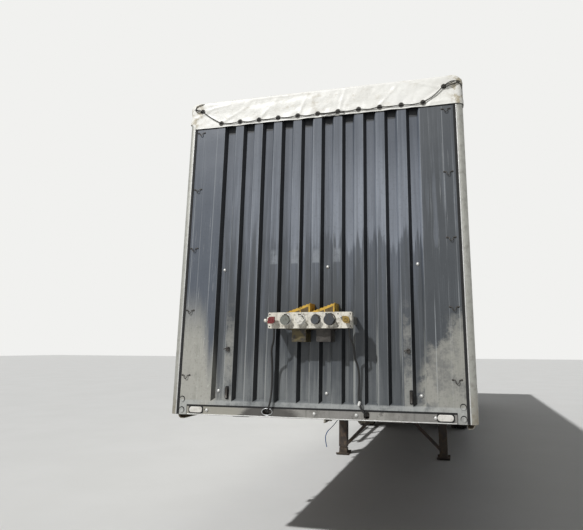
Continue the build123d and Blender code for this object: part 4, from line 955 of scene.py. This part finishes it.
# Each hollow is a dark plate: the hollow's painted shade.
hollow_corners = ((0.012, 0.107), (0.186, 0.107), (0.012, 0.212), (0.186, 0.278))
for number, x0 in enumerate((-0.200, 0.003)):
    hollow = primitive("plane", f"chock_hollow_{number}", size=1)
    for corner, (x, z) in zip(hollow.data.vertices, hollow_corners):
        corner.co = Vector((x0 + x, chock_face - 0.0012, chock_z + z))
    modify(hollow, "SOLIDIFY", thickness=0.001, offset=0)
    finish(hollow, hollow_plastic, "socket_plastic")
    for web, (x, z) in enumerate(((0.062, 0.176), (0.130, 0.192))):
        finish(slab(f"chock_web_{number}_{web}", (0.007, 0.004, 0.130), 0.002,
                    at=(x0 + x, chock_face - 0.002, chock_z + z), lean=-14), chock_plastic, "socket_plastic")

# %% [markdown]
# ## Roof and curtains
# The roof cloth is drawn over the bows and sinks a few millimetres between them; its skirt hangs over the top
# of the curtains. Each curtain is one sheet under tension between the posts, pulled down by straps, so it bulges
# a little between the straps and has long shallow waves along it. Both start as a grid, laid in place in code.

# %% Roof cloth
roof_low, roof_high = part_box("roof_sheet")
bow_count, first_bow = 20, front + 0.095
bow_step = (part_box("rear_frame")[0][1] + 0.04 - first_bow) / (bow_count + 1)
roof_start = front + 0.010
roof_long = roof_high[1] - roof_start
cloth_top = roof_high[2] - 0.0030
skirt_x, skirt_low, edge_r = roof_high[0], roof_low[2], 0.018
roof_flat = skirt_x - edge_r
edge_run = edge_r * pi / 2
roof_half = roof_flat + edge_run + (roof_high[2] - edge_r - skirt_low)


def roof_point(run, back):
    """The roof cloth at a run from the middle line and a length back from its front edge."""
    side, run = (1 if run >= 0 else -1), abs(run)
    y = roof_start + back
    from_bow = ((y - first_bow) / bow_step) % 1
    sag = 0.011 * sin(pi * from_bow) ** 2 * smooth(run, roof_flat, roof_flat - 0.35)
    ripple = 0.003 * noise.noise(Vector((run * 2.5, y * 2.1, 4)))
    drop = corner_drop * smooth(run, drop_from, drop_to) * smooth(back, 0.080, 0.020)
    if run < roof_flat:
        return Vector((side * run, y, cloth_top - drop - sag + ripple * smooth(run, roof_flat, roof_flat - 0.1)))
    if run < roof_flat + edge_run:
        angle = (run - roof_flat) / edge_r
        x, z = roof_flat + edge_r * sin(angle), cloth_top - drop - edge_r * (1 - cos(angle))
        return Vector((side * x, y, z))
    fall = run - roof_flat - edge_run
    wave = 0.0018 * noise.noise(Vector((y * 3.0, side, 6))) * smooth(fall, 0, 0.08)
    return Vector((side * (skirt_x - 0.0005 + wave), y, roof_high[2] - edge_r - max(fall, drop)))


roof = primitive("grid", "roof_cloth", x_subdivisions=64, y_subdivisions=330, size=1)
for point in roof.data.vertices:
    point.co = roof_point(point.co.x * 2 * roof_half, (point.co.y + 0.5) * roof_long)
modify(roof, "SOLIDIFY", thickness=0.0012, offset=-1)
finish(roof, roof_cloth, "tarpaulin", stands_for=("roof_sheet",), smooth=50)

# %% Curtains
strap_step = 0.62
curtain_low, curtain_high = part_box("curtain_right")
curtain_long, curtain_tall = curtain_high[1] - curtain_low[1], curtain_high[2] - curtain_low[2]
curtain_x = curtain_high[0] - 0.001
strap_ys = [curtain_low[1] + 0.34 + strap_step * i for i in range(int((curtain_long - 0.5) / strap_step) + 1)]


def curtain_inset(y, z):
    """How far the curtain lies inside its outer face at one place."""
    between = ((y - strap_ys[0]) / strap_step) % 1
    low = smooth(z, 2.1, 1.25)
    bulge = 0.006 * (1 - sin(pi * between)) * (0.4 + 0.6 * low)
    wave = 0.0035 * (1 + noise.noise(Vector((y * 1.1, z * 0.7, 2))))
    crease = 0.003 * max(0, noise.noise(Vector((y * 6, z * 0.9, 7)))) * (0.5 + low)
    return (bulge + wave + crease) * smooth(z, 3.94, 3.80)


for name, side in sides:
    curtain = primitive("grid", f"curtain_cloth_{name}", x_subdivisions=330, y_subdivisions=44, size=1)
    for point in curtain.data.vertices:
        y = curtain_low[1] + (point.co.x * side + 0.5) * curtain_long
        z = curtain_low[2] + (point.co.y + 0.5) * curtain_tall
        point.co = Vector((side * (curtain_x - curtain_inset(y, z)), y, z))
    modify(curtain, "SOLIDIFY", thickness=0.0011, offset=-1)
    finish(curtain, curtain_cloth, "tarpaulin", stands_for=(f"curtain_{name}",), smooth=60)

# %% [markdown]
# Webbing straps run down the curtain and hook under the side rail. Near the foot of each sits an over-centre
# buckle. A strap is a thin box with its face inset; the buckle is a box with its face inset and raised.
# Where an open rear door lies against the side, a strap has no buckle.

# %% Curtain straps and buckles
rail_low, strap_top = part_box("side_rail_right")[0][2], 3.90
strap = slab("strap", (0.0022, 0.045, strap_top - rail_low))
recess(strap, "+x", (0.004, 0.0008))
buckle = slab("buckle", (0.012, 0.058, 0.125))
edit(buckle, looking("+x"))
bpy.ops.mesh.inset(thickness=0.008, depth=0)
bpy.ops.mesh.extrude_region_move(TRANSFORM_OT_translate={"value": (0.006, 0, 0)})
bpy.ops.mesh.inset(thickness=0.006, depth=-0.003)
done()
modify(buckle, "BEVEL", width=0.0015, segments=1)
hook = slab("hook", (0.004, 0.040, 0.085))
recess(hook, "-x", (0.006, -0.0015))
open_door_from = rear - 1.34
buckle_ys = [y for y in strap_ys if y < open_door_from]
for name, side in sides:
    turning = plain if side > 0 else turned_round
    for part, made, material, slot, out, z, ys in (
            (strap, "straps", webbing, "black_plastic", 0.0, (strap_top + rail_low) / 2, strap_ys),
            (buckle, "buckles", galvanised, "galvanised_steel", 0.007, 1.33, buckle_ys),
            (hook, "hooks", galvanised, "galvanised_steel", 0.001, rail_low + 0.043, buckle_ys)):
        repeat(part, [(side * (curtain_x + 0.0012 + out), y, z) for y in ys], f"curtain_{made}_{name}", material, slot,
               turning=turning, keep=True)
for part in (strap, buckle, hook):
    bpy.data.objects.remove(part)
print(len(strap_ys), "straps a side")

# %% [markdown]
# A dark hem is welded along the foot of each curtain, and a pole stands in a pocket at both of its ends, with a
# ratchet at the front that pulls the curtain tight. Amber marker lamps hang on rubber brackets under the rail.

# %% Hems, poles, ratchets and side markers
curtain_mid, ratchet_y = (curtain_low[1] + curtain_high[1]) / 2, curtain_low[1] + 0.045
hem = slab("hem", (0.003, curtain_long - 0.02, 0.055), 0.0012)
pole = slab("pole", (0.010, 0.036, 2.70), 0.0045, axis=2)
ratchet = slab("ratchet", (0.016, 0.075, 0.100), 0.006, axis=0)
recess(ratchet, "x", (0.010, -0.003))
bracket = slab("bracket", (0.030, 0.060, 0.045), 0.008, axis=0)
marker = slab("marker", (0.016, 0.100, 0.034), 0.010, axis=0)
pole_ys = (curtain_low[1] + 0.030, curtain_high[1] - 0.030)
marker_ys = [front + back for back in (0.95, 3.40, 7.35, 11.55, 13.10)]
hem_out = curtain_x + 0.0008
for name, side in sides:
    for part, made, material, slot, out, ys, z in (
            (hem, "curtain_hem", webbing, "black_plastic", hem_out, [curtain_mid], 1.212),
            (pole, "curtain_poles", curtain_cloth, "tarpaulin", hem_out, pole_ys, 2.55),
            (ratchet, "curtain_ratchet", galvanised, "galvanised_steel", hem_out + 0.005, [ratchet_y], 1.290),
            (bracket, "side_marker_brackets", rubber, "black_plastic", 1.220, marker_ys, 1.086),
            (marker, "side_markers", amber_lens, "lamp_red", 1.242, marker_ys, 1.076)):
        repeat(part, [(side * out, y, z) for y in ys], f"{made}_{name}", material, slot, keep=True)
for part in (hem, pole, ratchet, bracket, marker):
    bpy.data.objects.remove(part)

# %% [markdown]
# ## The rear
# Each door has a rubber seal along its four edges. The lamp beam carries a blank plate with two small lamps,
# two triangular reflectors, and tail lamps whose lens is split into red, amber and clear chambers by dark bars.

# %% Door seals
seal_y, door_mid_x, door_mid_z = rear - 0.0442, 0.6245, 2.585
for name, side in sides:
    strips = [slab("upright", (0.012, 0.004, 2.616), at=(side * x, seal_y, door_mid_z)) for x in (0.012, 1.237)]
    strips += [slab("level", (1.213, 0.004, 0.014), at=(side * door_mid_x, seal_y, z)) for z in (1.284, 3.886)]
    pick(*strips)
    bpy.ops.object.join()
    strips[0].name = f"door_seal_{name}"
    finish(strips[0], seal_rubber, "black_plastic", f"door_{name}")

# %% Plate, reflectors and lamp chambers
beam_face, plate_z = front + 13.459, 1.038
plate = slab("number_plate", (0.520, 0.004, 0.112), 0.010, at=(0, beam_face + 0.004, plate_z))
finish(plate, plate_paint, "galvanised_steel")
plate_back = slab("plate_back", (0.540, 0.006, 0.128), 0.012, at=(0, beam_face + 0.001, plate_z))
finish(plate_back, black_plastic, "black_plastic")
repeat(slab("plate_lamp", (0.070, 0.034, 0.026), 0.008, axis=0),
       [(x, beam_face + 0.016, 1.100) for x in (-0.150, 0.150)], "plate_lamps", black_plastic, "black_plastic")
triangle = primitive("cylinder", "triangle", vertices=3, radius=0.078, depth=0.010, rotation=facing_ahead)
recess(triangle, "+y", (0.012, -0.003))
modify(triangle, "BEVEL", width=0.002, segments=2)
repeat(triangle, [(x, beam_face + 0.004, 1.022) for x in (-0.56, 0.56)], "triangle_reflectors", red_lens, "lamp_red")
lens_face, lens_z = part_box("rear_lamp_right")[1][1], 1.040
for name, side in sides:
    for made, material, slot, size, x in (
            ("amber_chamber", amber_lens, "lamp_red", (0.088, 0.006, 0.104), 1.118),
            ("clear_chamber", clear_lens, "lamp_white", (0.062, 0.006, 0.104), 0.902)):
        finish(slab(f"{made}_{name}", size, 0.006, at=(side * x, lens_face, lens_z)), material, slot)
    repeat(slab("divider", (0.006, 0.008, 0.112)),
           [(side * x, lens_face, lens_z) for x in (0.866, 0.938, 1.068, 1.167)], f"lamp_dividers_{name}",
           black_plastic, "black_plastic")

# %% [markdown]
# Behind the last axle a rubber flap hangs from each mudguard. It leaves the guard sloping back, clear of the
# tyre, and then falls straight. A grid is bent to that line and given its thickness.

# %% Spray flaps
flap_line = (  # distance behind the headboard and height, from the guard down
    (11.128, 0.835), (11.150, 0.770), (11.170, 0.700), (11.182, 0.620), (11.188, 0.540), (11.190, 0.420),
    (11.190, 0.300))
flap_steps, spray_x, spray_wide = len(flap_line) - 1, 1.030, 0.370
for name, side in sides:
    spray_flap = primitive("grid", f"spray_flap_{name}", x_subdivisions=4, y_subdivisions=flap_steps, size=1)
    for point in spray_flap.data.vertices:
        back, z = flap_line[round((0.5 - point.co.y) * flap_steps)]
        point.co = Vector((side * spray_x + point.co.x * spray_wide, front + back, z))
    modify(spray_flap, "SOLIDIFY", thickness=0.005, offset=0)
    finish(spray_flap, rubber, "black_plastic")

# %% [markdown]
# Two air lines and a cable loom run along the inner face of the beams' webs, clipped just below the
# crossmembers. Each comes out of a hole in a crossmember behind the gooseneck and goes into another behind the
# axles.

# %% Lines along the beams
web_in, hole_z = 0.6468, 1.192
for name, side, z, thick, skin in (
        ("brake_line", -1, 1.136, 0.014, cable_skin),
        ("supply_line", -1, 1.116, 0.014, hose_skin),
        ("cable_loom", 1, 1.126, 0.020, cable_skin)):
    halfway = (hole_z + z) / 2
    run = [(2.686, hole_z), (2.76, hole_z), (2.86, halfway)]
    run += [(back, z) for back in (3.05, 3.30, 5.0, 7.0, 9.0, 11.0, 11.35)]
    run += [(11.60, halfway), (11.70, hole_z), (11.757, hole_z)]
    points = [(side * (web_in - thick / 2), front + back, height) for back, height in run]
    finish(as_mesh(wire(name, points, thick)), skin, "cable_rubber")
clip_backs = (3.6, 4.8, 6.0, 7.2, 8.4, 9.6, 10.8)
repeat(slab("clip", (0.026, 0.018, 0.052), 0.003, axis=0),
       [(side * (web_in - 0.013), front + back, 1.123) for name, side in sides for back in clip_backs],
       "line_clips", galvanised, "galvanised_steel")

# %% [markdown]
# ## Tyres and wheels
# A tyre is one section spun about the axle: bead, bulging wall, shoulder, and a flat tread with four grooves.
# The section is a ring of points, moved to their places from a table, which the spin operator then sweeps.
# The frame's plain tyre is hidden behind it. Six wheels are alike, so one tyre is made and copied.

# %% Tyres
half_section = (  # distance from the middle along the axle, radius; from the bead out to the tread's middle
    (0.1480, 0.2870), (0.1488, 0.2960), (0.1560, 0.3080), (0.1660, 0.3280), (0.1770, 0.3560), (0.1860, 0.3900),
    (0.1900, 0.4200), (0.1885, 0.4450), (0.1820, 0.4700), (0.1740, 0.4890), (0.1690, 0.5000), (0.1700, 0.5060),
    (0.1660, 0.5140), (0.1560, 0.5230), (0.1400, 0.5290), (0.1200, 0.5295), (0.1165, 0.5170), (0.1065, 0.5170),
    (0.1030, 0.5297), (0.0640, 0.5300), (0.0600, 0.5165), (0.0490, 0.5165), (0.0450, 0.5300), (0.0140, 0.5300),
)
section = list(half_section) + [(-x, radius) for x, radius in reversed(half_section)]
section += [(-0.1380, 0.3000), (-0.1000, 0.3300), (0.1000, 0.3300), (0.1380, 0.3000)]
tyre = primitive("circle", "tyre", vertices=len(section), radius=0.1)
for point, (x, radius) in zip(tyre.data.vertices, section):
    point.co = Vector((x, 0, radius))
edit(tyre)
bpy.ops.mesh.spin(steps=90, angle=2 * pi, center=(0, 0, 0), axis=(1, 0, 0))
bpy.ops.mesh.select_all(action="SELECT")
bpy.ops.mesh.remove_doubles(threshold=0.0002)
bpy.ops.mesh.normals_make_consistent(inside=False)
done()
print("tyre", len(tyre.data.polygons), "faces")

# %% [markdown]
# Each wheel is held by ten nuts round its hub. The nut is a six-sided cylinder with a wide foot and a stepped
# end, copied round the circle.

# %% Wheel nuts
nut = primitive("cylinder", "nut", vertices=6, radius=0.019, depth=0.020, rotation=(0, pi / 2, 0))
edit(nut, looking("-x"))
bpy.ops.mesh.inset(thickness=0.001)
bpy.ops.transform.resize(value=(1, 1.45, 1.45))
done()
edit(nut, looking("+x"))
bpy.ops.mesh.inset(thickness=0.007)
bpy.ops.mesh.extrude_region_move(TRANSFORM_OT_translate={"value": (0.012, 0, 0)})
bpy.ops.mesh.inset(thickness=0.003)
done()
modify(nut, "BEVEL", width=0.001, segments=1)
nut_count, nut_ring_r, nut_out = 10, 0.1425, 0.130
tread_mid_x = 1.02
for name, side in [(f"{axle}_{name}", side) for axle in (1, 2, 3) for name, side in sides]:
    turning = plain if side > 0 else turned_round
    low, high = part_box(f"tyre_{name}")
    hub = (side * tread_mid_x, (low[1] + high[1]) / 2, (high[2] - low[2]) / 2)
    repeat(tyre, [hub], f"tyre_tread_{name}", tyre_rubber, "tyre", f"wheel_{name}", turning, keep=True,
           stands_for=(f"tyre_{name}",), smooth=35)
    angles = [2 * pi * number / nut_count for number in range(nut_count)]
    shifts = [(side * nut_out, nut_ring_r * cos(angle), nut_ring_r * sin(angle)) for angle in angles]
    repeat(nut, moved([hub], *shifts), f"wheel_nuts_{name}", galvanised, "galvanised_steel", f"wheel_{name}", turning,
           keep=True)
for part in (tyre, nut):
    bpy.data.objects.remove(part)

# %% [markdown]
# ## Studio
# The trailer stands on a pale floor under soft light. The sky is brighter on the left than on the right, and a
# sun from the upper left draws the shadow that fills one side of each valley in the headboard.

# %% Floor, sky and lamp
floor = primitive("plane", "studio_floor", size=160)
floor_finish, shader, place = new_finish("painted concrete floor", Roughness=0.9)
paint(shader, layers("#dcdcda", (patches(place, 0.7, 0.3, 0.7, detail=5) * 0.35, "#d2d2cf")))
floor.data.materials.append(floor_finish)

world = bpy.data.worlds.new("soft sky")
world.use_nodes = True
bpy.context.scene.world = world
tree = world.node_tree
sky = tree.nodes["Background"]
view_x = along(Pattern(add(tree, "TexCoord").outputs["Generated"]), "X")
paint(sky, layers("#ffffff", (ramp(view_x, -0.5, 0.9), "#92979e")), "Color")
sky.inputs["Strength"].default_value = 0.27
backdrop = add(tree, "Background", values={"Color": colour("#f1f1ef"), "Strength": 1.0})
rays = add(tree, "LightPath").outputs
seen = Pattern(rays["Is Camera Ray"]) | Pattern(rays["Is Glossy Ray"]) | Pattern(rays["Is Transmission Ray"])
chooser = add(tree, "MixShader", links={0: seen, 1: sky.outputs[0], 2: backdrop.outputs[0]})
tree.links.new(chooser.outputs[0], tree.nodes["World Output"].inputs["Surface"])

bpy.ops.object.light_add(type="SUN", location=(-6, front - 8, 12))
key = bpy.context.object
key.data.angle = radians(1.5)
key.data.energy = 3.05
key.rotation_euler = Vector((0.62, 1.0, -1.05)).to_track_quat("-Z", "Y").to_euler()
bpy.context.scene.view_settings.view_transform = "Standard"
print("studio ready")
